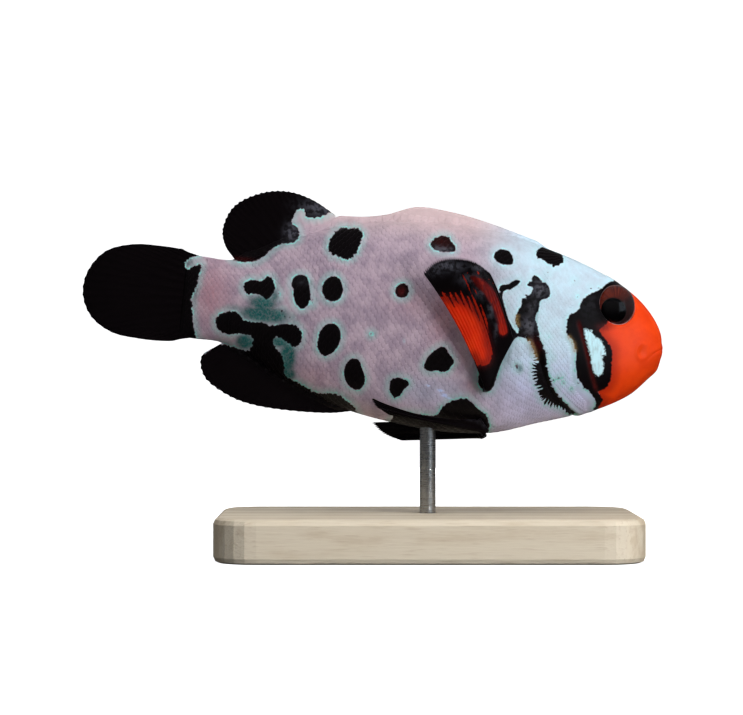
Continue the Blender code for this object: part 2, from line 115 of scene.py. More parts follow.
def body_measure(along, column):
    """One measure of the body (1 top, 2 bottom, 3 half width ...) at places along it."""
    return np.interp(along, DENSE[:, 0], DENSE[:, column])


turn = np.array(Euler((-BANK, NOSE_DOWN, 0.0)).to_matrix())
belly = turn @ np.array([ROD_STATION, 0.0, float(body_measure(ROD_STATION, 2))])
shift = np.array([-belly[0], -belly[1], FISH_HEIGHT])


def in_place(points):
    """Points of the fish in millimetres, turned and moved to their place in metres."""
    return (points @ turn.T + shift) * MM


print("fish origin in mm:", np.round(shift, 3), "belly over the base:", round(FISH_HEIGHT + belly[2], 2))

# %% [markdown]
# ## The side drawing
# A fish's marks are easiest to lay out on a flat drawing of its side. Each point of the skin is mirrored
# to the right side and laid on that drawing, so one set of outlines serves both sides and meets itself
# along the back. The drawing is the kind a painter makes: a side view from arm's length with the fish
# leaning as it will stand.

# %% Lay points on the side drawing
def on_drawing(points):
    """Where points of the fish fall on the side drawing, as along and up in millimetres."""
    mirrored = points * np.array([1.0, -1.0, 1.0])
    mirrored = np.where(points[:, 1:2] > 0, mirrored, points)
    leaning = mirrored @ turn.T
    depth = SIGHT_DISTANCE / (SIGHT_DISTANCE + leaning[:, 1])
    across = SIGHT_SHIFT[0] + (leaning[:, 0] - SIGHT_SHIFT[0]) * depth
    up = SIGHT_SHIFT[1] + (leaning[:, 2] - SIGHT_SHIFT[1]) * depth
    cosine, sine = math.cos(NOSE_DOWN), math.sin(NOSE_DOWN)
    return np.column_stack([across * cosine - up * sine, across * sine + up * cosine])


def ease(value, start, end):
    """0 before start, 1 after end, and a smooth climb between."""
    t = np.clip((value - start) / (end - start), 0.0, 1.0)
    return t * t * (3 - 2 * t)


def bell(distance, width):
    return np.exp(-((distance / width) ** 2))


def along_line(points, line, steps=40):
    """Distance of drawing points from a smooth line, + to the left of its run, and place along it."""
    flat = np.array([(x, z, 0.0) for x, z in line], float)
    path = smooth_through(flat, np.linspace(0.0, 1.0, steps))[:, :2]
    start, step = path[:-1], np.diff(path, axis=0)
    length = np.linalg.norm(step, axis=1)
    run = np.concatenate([[0.0], np.cumsum(length)])
    away = points[:, None, :] - start[None]
    t = np.clip((away * step).sum(2) / length**2, 0.0, 1.0)
    near = away - t[..., None] * step
    distance = np.linalg.norm(near, axis=2)
    index = distance.argmin(1)
    row = np.arange(len(points))
    side = step[index, 0] * away[row, index, 1] - step[index, 1] * away[row, index, 0]
    place = run[index] + t[row, index] * length[index]
    return distance[row, index] * np.where(side >= 0, 1.0, -1.0), place / run[-1]


print("the fish's origin on the drawing:", np.round(on_drawing(np.zeros((1, 3)))[0], 2).tolist())

# %% [markdown]
# ## The body as one smooth sheet of points
# The body is a grid: rows are cross sections from the tail's root to the snout, columns run from the keel
# over the back. Each section is a rounded oval whose top carries a thin blade where the spiny back fin
# grows, and the two are melted together, so the fin rises out of the back with no line, as skin does.

# %% Build the sections of the body
REAR_ROWS, HEAD_ROWS, HALF_COLUMNS = 190, 170, 124
HEAD_START = 21.0
SPINY_EDGE = ((-5.9, 14.0), (-2.5, 14.2), (0.5, 14.8), (4.5, 16.25), (8.5, 16.15), (14.0, 15.2),
              (19.5, 13.75), (23.4, 12.6))
SHEATH, KEEL_SHEATH = 1.1, 0.7  # height of the scaly sheath along the soft back fin and the anal fin
SHEATH_BY_SPINES = 1.75         # and where the soft fin meets the spiny one
BLADE_HALF, BLADE_ROOT, BLADE_TAPER, BLADE_ROUND = 0.42, 4.0, 2.2, 0.35
MELT, TIP_CLOSING = 0.5, 0.25


def body_rows():
    """Sections for each row: closely set in the head, then closing on the snout's tip."""
    rear = np.linspace(BODY_STATIONS[0][0], HEAD_START, REAR_ROWS, endpoint=False)
    t = np.linspace(0.0, 1.0, HEAD_ROWS)
    head = HEAD_START + (BODY_STATIONS[-1][0] - HEAD_START) * np.sin(t * math.pi / 2) ** 0.8
    along = np.concatenate([rear, head])
    return np.column_stack([along] + [body_measure(along, column) for column in range(1, 7)])


def blade_tops(rows):
    """Height of the back's blade and depth of the keel's blade for each row, and how present each is."""
    along, top = rows[:, 0], rows[:, 1]
    edge = smooth_through([(x, z, 0.0) for x, z in SPINY_EDGE], np.linspace(0, 1, 300))
    spiny = np.interp(along, edge[:, 0], edge[:, 1]) - top
    sheath = SHEATH * ease(along, -20.6, -18.2)
    climb = (SHEATH_BY_SPINES - SHEATH) * ease(along, -8.5, -5.9)
    back = np.where(along > SPINY_EDGE[0][0], spiny, sheath + climb)
    back = back * (1 - ease(along, 21.5, 24.5))
    keel = KEEL_SHEATH * ease(along, -21.0, -18.5) * (1 - ease(along, -4.5, -1.5))
    return np.maximum(back, 0.0), np.maximum(keel, 0.0)


def half_sections(rows):
    """Half width and height of every point on one side of every section."""
    _, top, bottom, wide, level, full_above, full_below = (c[:, None] for c in rows.T)
    back, keel = (c[:, None] for c in blade_tops(rows))
    t = 0.5 - 0.5 * np.cos(np.linspace(0.0, math.pi, 700))[None]
    low, high = bottom - keel, top + back
    up = low + (high - low) * t
    rise = np.clip((up - level) / (top - level), 0.0, 1.0)
    fall = np.clip((level - up) / (level - bottom), 0.0, 1.0)
    round_above = wide * (1 - rise**full_above) ** (1 / full_above)
    round_below = wide * (1 - fall**full_below) ** (1 / full_below)
    body = np.where(up >= level, round_above, round_below)
    for height, tip, presence in ((up, high, ease(back, 0.02, 0.5)), (-up, -low, ease(keel, 0.02, 0.5))):
        thin = BLADE_HALF * (0.45 + 0.55 * np.clip((tip - height) / BLADE_TAPER, 0, 1))
        blade = thin * np.sqrt(np.clip(1 - np.clip(1 - (tip - height) / BLADE_ROUND, 0, 1) ** 2, 0, 1))
        blade = blade * presence * ((height > tip - BLADE_ROOT) & (height <= tip))
        melt = MELT * presence + 1e-4
        melted = 0.5 * (body + blade + np.sqrt((body - blade) ** 2 + melt**2)) - 0.5 * melt * (1 - presence)
        closing = np.clip((tip - height) / TIP_CLOSING, 0, 1) ** 0.5
        body = np.where(height > tip - BLADE_ROOT, melted * np.where(presence > 0.01, closing, 1.0), body)
    body[:, 0] = body[:, -1] = 0.0
    return body, up


def even_columns(width, up):
    """The same sections read at evenly spaced places round them, and their length from keel to back."""
    count = HALF_COLUMNS + 1
    out = np.empty((len(width), count, 2))
    length = np.empty(len(width))
    for row in range(len(width)):
        step = np.hypot(np.diff(width[row]), np.diff(up[row]))
        run = np.concatenate([[0.0], np.cumsum(step)])
        places = np.linspace(0.0, run[-1], count)
        out[row, :, 0] = np.interp(places, run, width[row])
        out[row, :, 1] = np.interp(places, run, up[row])
        length[row] = run[-1]
    return out, length


rows = body_rows()
sections, girth = even_columns(*half_sections(rows))
print("rows and columns:", sections.shape[:2], "greatest half girth in mm:", round(girth.max(), 2))


def whole_grid(sections, along):
    """Right side from keel to back, then left side from back to keel, as rows of points."""
    station = np.broadcast_to(along[:, None], sections.shape[:2])
    right = np.stack([station, -sections[..., 0], sections[..., 1]], 2)
    left = right[:, ::-1] * np.array([1.0, -1.0, 1.0])
    return np.concatenate([right, left[:, 1:-1]], axis=1)


def grid_normals(grid):
    """Outward directions of a grid that closes round its columns."""
    down_rows = np.gradient(grid, axis=0)
    ring = np.concatenate([grid[:, -1:], grid, grid[:, :1]], axis=1)
    round_columns = ring[:, 2:] - ring[:, :-2]
    normal = np.cross(down_rows, round_columns)
    return normal / np.maximum(np.linalg.norm(normal, axis=2, keepdims=True), 1e-9)


body_grid = whole_grid(sections, rows[:, 0])
body_normal = grid_normals(body_grid)
print("points in the body grid:", body_grid.shape[0] * body_grid.shape[1])

# %% [markdown]
# ## Folds and openings of the head
# A fish's head is not a plain egg. The gill cover ends in a free edge that stands over a slit, a second
# slit crosses the cheek, the lips meet in a short sloping mouth, and each nostril is a small hole in a
# raised rim. Each one is written as a height over the smooth body that depends on the distance from a
# named line, so the fold is true shape in the mesh and not a painted shadow.

# %% Lines and heights of the folds
GILL_EDGE = ((22.0, 9.2), (23.2, 7.2), (23.3, 5.6), (22.6, 3.9), (22.4, 1.8), (22.8, -1.0), (23.8, -3.4),
             (24.7, -5.7), (26.3, -8.3), (29.0, -10.4), (32.0, -11.6))
CHEEK_SLIT = ((28.2, 2.6), (28.9, 0.8), (29.6, -1.0), (30.3, -3.0), (31.1, -5.4), (32.0, -7.6))
GILL_RIM = ((26.2, 4.6), (26.6, 1.4), (27.4, -1.6), (28.3, -4.6), (29.6, -7.4))
MOUTH_LINE = ((41.5, -0.3), (40.1, -0.75), (38.9, -1.75), (37.9, -2.9), (37.1, -4.1))
UPPER_LIP_FOLD = ((41.2, 1.4), (40.2, 0.35), (39.2, -0.35), (38.3, -1.2), (37.4, -2.6), (36.8, -3.7))
LOWER_LIP_FOLD = ((41.0, -2.6), (39.7, -3.0), (38.6, -3.6), (37.6, -4.4), (36.9, -5.0))
JAW_FOLD = ((36.9, -4.4), (35.9, -5.8), (34.2, -7.2), (32.6, -8.4))
NOSTRIL, NOSTRIL_RADII = (37.62, -1.15), (0.62, 0.95)
HEAD_FOLDS_START = 19.5
GILL_RISE, GILL_DIP, GILL_SLOPE = 0.34, 0.26, 1.9
CHEEK_RISE, CHEEK_DIP, CHEEK_SLOPE = 0.12, 0.22, 0.9
GILL_RIM_RISE, MOUTH_DIP, LIP_RISE = 0.05, 0.09, 0.02
NOSTRIL_RISE, NOSTRIL_DIP, NOSTRIL_GAP_CLOCK = 0.13, 0.18, -0.5
FINE_FOLDS = (  # line, depth, width
    (UPPER_LIP_FOLD, 0.02, 0.22),
    (LOWER_LIP_FOLD, 0.015, 0.3),
    (JAW_FOLD, 0.015, 0.35),
)
EYE_CENTRE = (33.2, 4.2)
EYE_WIDE, EYE_TALL, EYE_DEEP, EYE_PROUD = 2.62, 3.0, 1.92, 0.95
EYE_TURN_FORWARD, EYE_TURN_UP = math.radians(8.0), math.radians(10.0)


def flank_width(along, up):
    """Distance from the midline to the smooth body's side at one place in side view."""
    row = np.argmin(np.abs(rows[:, 0] - along))
    return float(np.interp(up, sections[row, :, 1], sections[row, :, 0]))


def eye_frame(side):
    """The eye's middle, and its axes: forward, up and outward."""
    look = Vector((math.sin(EYE_TURN_FORWARD), side * math.cos(EYE_TURN_FORWARD), math.sin(EYE_TURN_UP)))
    axes = np.array(look.to_track_quat("Z", "Y").to_matrix())
    out = flank_width(*EYE_CENTRE) - EYE_DEEP + EYE_PROUD
    centre = np.array([EYE_CENTRE[0], side * out, EYE_CENTRE[1]])
    forward = axes[:, 0] if axes[0, 0] > 0 else -axes[:, 0]
    upward = axes[:, 1] if axes[2, 1] > 0 else -axes[:, 1]
    return centre, np.column_stack([forward, upward, axes[:, 2]])


def eye_radius(points, side):
    """How far points lie from the eye's axis, as a share of its rim, and how far out along it."""
    centre, axes = eye_frame(side)
    local = (points - centre) @ axes
    return np.hypot(local[:, 0] / EYE_WIDE, local[:, 1] / EYE_TALL), local[:, 2]


def fold_heights(points, drawn):
    """Height of the folds over the smooth body for each point."""
    height = np.zeros(len(points))
    head = np.flatnonzero(drawn[:, 0] > HEAD_FOLDS_START)
    near = drawn[head]
    part = np.zeros(len(head))
    gill, place = along_line(near, GILL_EDGE, 60)
    open_part = ease(place, 0.02, 0.16) * (1 - ease(place, 0.93, 1.0))
    cover = GILL_RISE * np.exp(np.minimum(-gill, 0) / GILL_SLOPE) * ease(gill, -0.02, 0.14)
    slit = -GILL_DIP * bell(gill + 0.16, 0.24)
    part += open_part * (cover + slit)
    cheek, place = along_line(near, CHEEK_SLIT)
    fold = -CHEEK_DIP * bell(cheek, 0.17) + CHEEK_RISE * np.exp(-np.abs(cheek) / CHEEK_SLOPE) * (cheek > 0)
    part += fold * ease(place, 0, 0.12) * (1 - ease(place, 0.9, 1.0))
    rim, place = along_line(near, GILL_RIM)
    part += GILL_RIM_RISE * bell(rim, 0.5) * ease(place, 0, 0.2) * (1 - ease(place, 0.8, 1.0))
    mouth, place = along_line(near, MOUTH_LINE)
    closing = 1 - ease(place, 0.25, 0.9)
    part += (-MOUTH_DIP * bell(mouth, 0.09) + LIP_RISE * bell(np.abs(mouth) - 0.40, 0.35)) * closing
    for line, depth, wide in FINE_FOLDS:
        fold, place = along_line(near, line)
        part -= depth * bell(fold, wide) * (1 - ease(place, 0.8, 1.0))
    away = (near - NOSTRIL) / NOSTRIL_RADII
    ring = np.hypot(away[:, 0], away[:, 1])
    clock = np.arctan2(away[:, 1], away[:, 0])
    gap = 1 - 0.8 * bell(np.mod(clock - NOSTRIL_GAP_CLOCK + math.pi, 2 * math.pi) - math.pi, 0.8)
    part += NOSTRIL_RISE * bell(ring - 1.15, 0.34) * gap - NOSTRIL_DIP * bell(ring, 0.5)
    part *= ease(near[:, 0], HEAD_FOLDS_START, HEAD_FOLDS_START + 1.0)
    height[head] = part
    return height


def sink_round_eye(points, normal):
    """The skin stops in a soft rim against each eyeball and dives behind it."""
    moved = points.copy()
    for side in (-1, 1):
        mine = np.flatnonzero((points[:, 1] * side > 0.2) & (points[:, 0] > 28.0))
        radius, _ = eye_radius(points[mine], side)
        rim = 0.05 * bell(radius - 1.08, 0.07) - 0.05 * bell(radius - 1.24, 0.12)
        dive = -1.5 * (1 - ease(radius, 0.86, 1.02))
        moved[mine] += normal[mine] * (rim + dive)[:, None]
    return moved


print("the right eye's middle in mm:", np.round(eye_frame(-1)[0], 2).tolist())

# %% [markdown]
# ## Where the coat lies
# Scales cover the trunk, the nape and the gill cover, but a clownfish's snout and cheeks are bare skin.
# Under the scales the skin lies a little deeper, by the coat's depth, so that skin and coat together give
# the body's full size. `coat_share` says how much coat there is at a place; both the skin and the scales
# read it.

# %% Coat map
COAT_DEPTH = 0.12
BARE_FACE = ((34.0, 11.0), (31.6, 8.2), (30.4, 6.9), (28.9, 5.6), (28.0, 3.6), (27.3, 2.4), (27.3, 0.6),
             (28.3, -1.2), (28.8, -3.2), (29.2, -5.6), (30.0, -7.4), (31.4, -9.0), (31.6, -12.0))


def coat_share(drawn):
    face, _ = along_line(drawn, BARE_FACE, 60)
    tail = ease(drawn[:, 0], -26.0, -24.6)
    return ease(-face, 0.0, 0.9) * tail


flat_points = body_grid.reshape(-1, 3)
flat_normal = body_normal.reshape(-1, 3)
body_drawn = on_drawing(flat_points)
coat_here = coat_share(body_drawn)
lift = fold_heights(flat_points, body_drawn) - COAT_DEPTH * coat_here
skin_points = sink_round_eye(flat_points + flat_normal * lift[:, None], flat_normal)
host_grid = skin_points.reshape(body_grid.shape)
host_normal = grid_normals(host_grid)
print("share of the body under scales:", round(float(coat_here.mean()), 2),
      "folds from", round(float(lift.min()), 2), "to", round(float(lift.max()), 2), "mm")

# %% [markdown]
# ## Fins: bony rays with skin between them
# A fin is a fan of thin rays joined by a membrane. Each ray is a low ridge that forks toward the free
# edge, the membrane between is thinner and stops a little short, and that gives the edge its fine
# scallops. Every fin starts as a middle surface, rays by places along a ray, and is then given two faces
# and a rounded rim.

# %% Turn a middle surface into a closed fin
def middle_normals(middle):
    normal = np.cross(np.gradient(middle, axis=0), np.gradient(middle, axis=1))
    return normal / np.maximum(np.linalg.norm(normal, axis=2, keepdims=True), 1e-9)


def ray_ridges(spread, reach, rays, fork_at):
    """1 on a ray and 0 between rays; past fork_at each ray is two finer ones."""
    phase = spread * rays
    stem = 0.5 - 0.5 * np.cos(2 * math.pi * phase)
    forked = 0.5 - 0.5 * np.cos(4 * math.pi * phase)
    share = ease(reach, fork_at, min(fork_at + 0.25, 1.0))
    return (stem**2) * (1 - share) + (forked**2) * share


def fin_solid(middle, half_thick):
    """Both faces of a fin as one closed grid: out along one face, back along the other."""
    normal = middle_normals(middle)
    front = middle + normal * half_thick[..., None]
    back = middle - normal * half_thick[..., None]
    return np.concatenate([front, back[:, ::-1]], axis=1)


def thickness(spread, reach, ridges, root, blade, edge, relief, flare):
    """Half thickness of a fin: fleshy at the root, thin at every free edge, raised on the rays."""
    base = blade + (root - blade) * np.exp(-np.clip(reach, 0, None) / flare)
    rim = np.clip((1.0 - reach) / 0.05, 0, 1) ** 0.5 * np.clip(spread / 0.02, 0, 1) ** 0.5
    rim = rim * np.clip((1 - spread) / 0.02, 0, 1) ** 0.5
    body = base * (1 - 0.45 * ease(reach, 0.3, 1.0)) + relief * (ridges - 0.4) * ease(reach, 0.05, 0.25)
    return np.maximum(edge + (body - edge) * rim, 0.015)


def scallop(reach, ridges, depth):
    """Rays reach a little further than the membrane between them."""
    return reach * (1 - depth * (1 - ridges) * ease(reach, 0.85, 1.0))


print("fin helpers ready")

# %% The fins on the midline
CAUDAL_EDGE = ((-26.2, 6.9), (-30.0, 7.25), (-34.2, 7.1), (-38.0, 5.7), (-40.2, 2.6), (-40.5, -0.6),
               (-39.0, -3.6), (-36.0, -5.5), (-32.0, -6.1), (-29.0, -6.1), (-26.2, -5.8))
SOFT_DORSAL_BASE = (-19.2, -6.2)
SOFT_DORSAL_EDGE = ((-20.2, 6.6), (-21.4, 8.0), (-22.1, 10.3), (-20.9, 13.8), (-17.4, 16.0), (-13.6, 16.65),
                    (-10.0, 15.8), (-6.6, 14.0))
ANAL_BASE = (-19.6, -2.2)
ANAL_EDGE = ((-21.0, -5.9), (-23.2, -7.7), (-22.6, -10.4), (-19.0, -12.8), (-15.0, -13.85), (-9.5, -14.1),
             (-4.5, -13.85), (-1.9, -13.35))
CAUDAL_RAYS, SOFT_DORSAL_RAYS, ANAL_RAYS = 15, 16, 14
CAUDAL_PLACES, DORSAL_PLACES, ANAL_PLACES, MIDLINE_PER_RAY = 60, 44, 36, 9  # points along and across a ray
CAUDAL_ROOT, CAUDAL_FOOT_TOP, CAUDAL_FOOT_BOTTOM, CAUDAL_NEAREST_TIP = -23.6, 6.1, -5.0, -27.6
MIDLINE_SUNK = 0.9


def wave(along, up, swing):
    """A gentle sideways sway, so that no fin is a flat card."""
    return swing * (np.sin(0.42 * along + 0.25 * up + 0.6) + 0.5 * np.sin(0.9 * along - 0.3 * up))


def midline_fin(base, edge, column, rays, swing, places):
    """Rays from inside the back or belly to a free edge."""
    spread = np.linspace(0.0, 1.0, rays * MIDLINE_PER_RAY + 1)
    tips = smooth_through([(x, z, 0.0) for x, z in edge], spread)[:, :2]
    along = base[0] + (base[1] - base[0]) * spread
    outward = 1.0 if column == 1 else -1.0
    foot = body_measure(along, column) - outward * MIDLINE_SUNK
    reach = np.linspace(0.0, 1.0, places)[None, :]
    ridges = ray_ridges(spread[:, None], reach, rays, 0.5)
    run = scallop(reach, ridges, 0.018)
    x = along[:, None] + (tips[:, 0] - along)[:, None] * run
    z = foot[:, None] + (tips[:, 1] - foot)[:, None] * run
    y = wave(x, z, swing) * ease(reach, 0.25, 1.0) * np.ones_like(x)
    half = thickness(spread[:, None], reach, ridges,
                     root=0.34, blade=0.2, edge=0.035, relief=0.05, flare=0.12)
    return fin_solid(np.stack([x, y, z], 2), half), spread


def tail_fin():
    """The tail's rays fan out from inside the tail's root."""
    spread = np.linspace(0.0, 1.0, CAUDAL_RAYS * MIDLINE_PER_RAY + 1)
    tips = smooth_through([(x, z, 0.0) for x, z in CAUDAL_EDGE], spread)[:, :2]
    foot = CAUDAL_FOOT_TOP + (CAUDAL_FOOT_BOTTOM - CAUDAL_FOOT_TOP) * spread
    reach = np.linspace(0.0, 1.0, CAUDAL_PLACES)[None, :]
    ridges = ray_ridges(spread[:, None], reach, CAUDAL_RAYS, 0.4)
    run = scallop(reach, ridges, 0.006)
    end_x = np.minimum(tips[:, 0], CAUDAL_NEAREST_TIP)
    x = CAUDAL_ROOT + (end_x[:, None] - CAUDAL_ROOT) * run
    z = foot[:, None] + (tips[:, 1] - foot)[:, None] * np.minimum(run * 1.04, run ** 0.75)
    y = wave(x, z, 0.16) * ease(reach, 0.35, 1.0) * np.ones_like(x)
    half = thickness(spread[:, None], reach, ridges,
                     root=0.85, blade=0.24, edge=0.035, relief=0.055, flare=0.10)
    return fin_solid(np.stack([x, y, z], 2), half), spread


fins = {
    "caudal": tail_fin(),
    "soft_dorsal": midline_fin(SOFT_DORSAL_BASE, SOFT_DORSAL_EDGE, 1, SOFT_DORSAL_RAYS, 0.13, DORSAL_PLACES),
    "anal": midline_fin(ANAL_BASE, ANAL_EDGE, 2, ANAL_RAYS, 0.12, ANAL_PLACES),
}
for name, (grid, _) in fins.items():
    print(name, "fin:", grid.shape[0] * grid.shape[1], "points")

# %% [markdown]
# ## The paired fins
# The side fins are a clownfish's oars: a fleshy root with a fan that bows away from the body. Here the
# fan is folded back and one strong pleat runs down it, with finer pleats between the rays. The pelvic
# fins hang below as narrow folded blades.

# %% The fins on each side
PECTORAL_HINGE = ((19.2, 7.3, -2.0), (18.3, 7.4, -4.1), (17.55, 7.4, -6.1), (17.0, 7.35, -8.0),
                  (16.6, 7.25, -9.3), (16.0, 7.2, -9.3))
PECTORAL_TIPS = ((15.3, 9.2, 6.2), (13.6, 10.4, 6.9), (11.5, 11.2, 7.45), (9.4, 11.2, 7.55),
                 (7.5, 10.6, 6.95), (6.1, 9.8, 5.5))
PECTORAL_BOW, LEADING_BOW_SHARE = 0.75, 0.3
PECTORAL_CREST, PECTORAL_CREST_AT, CREST_SPREAD, FAN_BULGE = 1.3, 0.3, 0.17, 0.4
PECTORAL_RAYS, PECTORAL_ROOT, PECTORAL_PLEAT = 18, 0.34, 0.03
PELVIC_RAYS, PELVIC_ROOT, PELVIC_PLEAT = 7, 0.5, 0.10
PAIRED_PLACES, PAIRED_PER_RAY, ROOT_PLACES = 56, 7, 8  # points along and across a ray, and inside the body
PELVIC_HINGE = ((17.0, 3.0, -14.9), (16.3, 3.4, -14.1), (15.6, 3.8, -13.3))
RIGHT_PELVIC_TIPS = ((3.2, 4.9, -13.9), (1.4, 5.1, -12.9), (0.7, 5.2, -11.9))
LEFT_PELVIC_TIPS = ((5.4, 4.9, -16.2), (2.5, 5.1, -15.2), (1.1, 5.2, -14.0))
PELVIC_BULGE, RIGHT_PELVIC_SAG, LEFT_PELVIC_SAG = 0.5, 1.0, -0.3


def paired_fin(side, hinge, tips, bow, sag, crest, rays, root, pleat):
    """A fan from a fleshy root inside the body to its tips, with a bow, a sag, one crest and small pleats."""
    spread = np.linspace(0.0, 1.0, rays * PAIRED_PER_RAY + 1)
    feet = smooth_through(hinge, spread)[:, None, :]
    ends = smooth_through(tips, spread)[:, None, :]
    buried = np.linspace(-0.16, -0.02, ROOT_PLACES)
    reach = np.concatenate([buried, np.linspace(0.0, 1.0, PAIRED_PLACES)])[None, :]
    ridges = ray_ridges(spread[:, None], reach, rays, 0.55)
    run = scallop(np.maximum(reach, 0), ridges, 0.03)
    middle = feet + (ends - feet) * run[..., None]
    swell = np.sin(math.pi * np.maximum(reach, 0)) * np.ones_like(ridges)
    fold = np.exp(-(((spread[:, None] - PECTORAL_CREST_AT) / CREST_SPREAD) ** 2))
    middle[..., 0] += bow * swell * (LEADING_BOW_SHARE + (1 - LEADING_BOW_SHARE) * spread[:, None])
    middle[..., 2] -= sag * swell * spread[:, None]
    middle[..., 1] += crest * (fold * np.sin(math.pi * 0.5 * np.maximum(reach, 0)) + FAN_BULGE * swell)
    middle[..., 1] += pleat * (ridges - 0.5) * ease(reach, 0.08, 0.5)
    inward = np.clip(-reach, 0, None)
    middle[..., 1] -= 10.0 * inward
    middle[..., 0] -= 1.0 * inward
    middle[..., 1] *= side
    half = thickness(spread[:, None], np.maximum(reach, 0), ridges,
                     root=root, blade=0.15, edge=0.03, relief=0.025, flare=0.14)
    return fin_solid(middle, half), spread


PELVIC_SIDES = ((-1, "right", RIGHT_PELVIC_TIPS, RIGHT_PELVIC_SAG),
                (1, "left", LEFT_PELVIC_TIPS, LEFT_PELVIC_SAG))
for side, word, tips, sag in PELVIC_SIDES:
    fins["pectoral_" + word] = paired_fin(side, PECTORAL_HINGE, PECTORAL_TIPS, PECTORAL_BOW, 0.0,
                                          PECTORAL_CREST, PECTORAL_RAYS, PECTORAL_ROOT, PECTORAL_PLEAT)
    fins["pelvic_" + word] = paired_fin(side, PELVIC_HINGE, tips, 0.0, sag,
                                        PELVIC_BULGE, PELVIC_RAYS, PELVIC_ROOT, PELVIC_PLEAT)
print("points in the side fins:", sum(fins[n][0].shape[0] * fins[n][0].shape[1] for n in fins if n[0] == "p"))

# %% [markdown]
# ## The marks as distances
# Every mark is a named outline on the side drawing. What the skin stores is not a colour but the distance
# to the nearest outline, less than zero inside. A smooth number like that stays sharp when the shader
# cuts it, makes pale rims for free, and can be roughened into the small teeth that pigment shows where it
# runs along scales.

# %% Distance from outlines
FAR = 2.5               # distances stop here
STEPS_PER_CORNER = 4
BLOCK = 20000           # points worked on at a time, to save memory


def rounded(outline):
    """A closed outline made smooth through its corners."""
    p = np.array(outline, float)
    before, after, later = np.roll(p, 1, 0), np.roll(p, -1, 0), np.roll(p, -2, 0)
    t = (np.arange(STEPS_PER_CORNER) / STEPS_PER_CORNER)[None, :, None]
    a, b, c, d = (q[:, None, :] for q in (before, p, after, later))
    curve = 0.5 * (2 * b + (c - a) * t + (2 * a - 5 * b + 4 * c - d) * t**2 + (3 * b - a - 3 * c + d) * t**3)
    return curve.reshape(-1, 2)


def outline_distance(drawn, outline):
    """Distance to a closed outline, less than zero inside, and the run along it of the nearest place."""
    distance = np.full(len(drawn), FAR)
    run = np.zeros(len(drawn))
    low, high = outline.min(0) - FAR, outline.max(0) + FAR
    near = np.flatnonzero(((drawn > low) & (drawn < high)).all(1))
    start, end = outline, np.roll(outline, -1, 0)
    step = end - start
    length = np.maximum(np.linalg.norm(step, axis=1), 1e-6)
    total = np.concatenate([[0.0], np.cumsum(length)])[:-1]
    for block in np.array_split(near, max(1, len(near) // BLOCK)):
        away = drawn[block][:, None] - start[None]
        t = np.clip((away * step).sum(2) / length**2, 0, 1)
        gap = np.linalg.norm(away - t[..., None] * step, axis=2)
        index = gap.argmin(1)
        row = np.arange(len(block))
        y, x = drawn[block][:, None, 1], drawn[block][:, None, 0]
        crosses = ((start[:, 1] > y) != (end[:, 1] > y)) & (
            x < start[:, 0] + step[:, 0] * (y - start[:, 1]) / np.where(step[:, 1] == 0, 1e-9, step[:, 1]))
        inside = crosses.sum(1) % 2 == 1
        distance[block] = np.minimum(gap[row, index], FAR) * np.where(inside, -1, 1)
        run[block] = total[index] + t[row, index] * length[index]
    return distance, run


def blob_weight(drawn, blobs):
    """Soft round patches: the strongest of a few bells."""
    weight = np.zeros(len(drawn))
    for x, z, wide, tall, strength in blobs:
        away = ((drawn[:, 0] - x) / wide) ** 2 + ((drawn[:, 1] - z) / tall) ** 2
        weight = np.maximum(weight, strength * np.exp(-away))
    return weight


print("outline helpers ready")

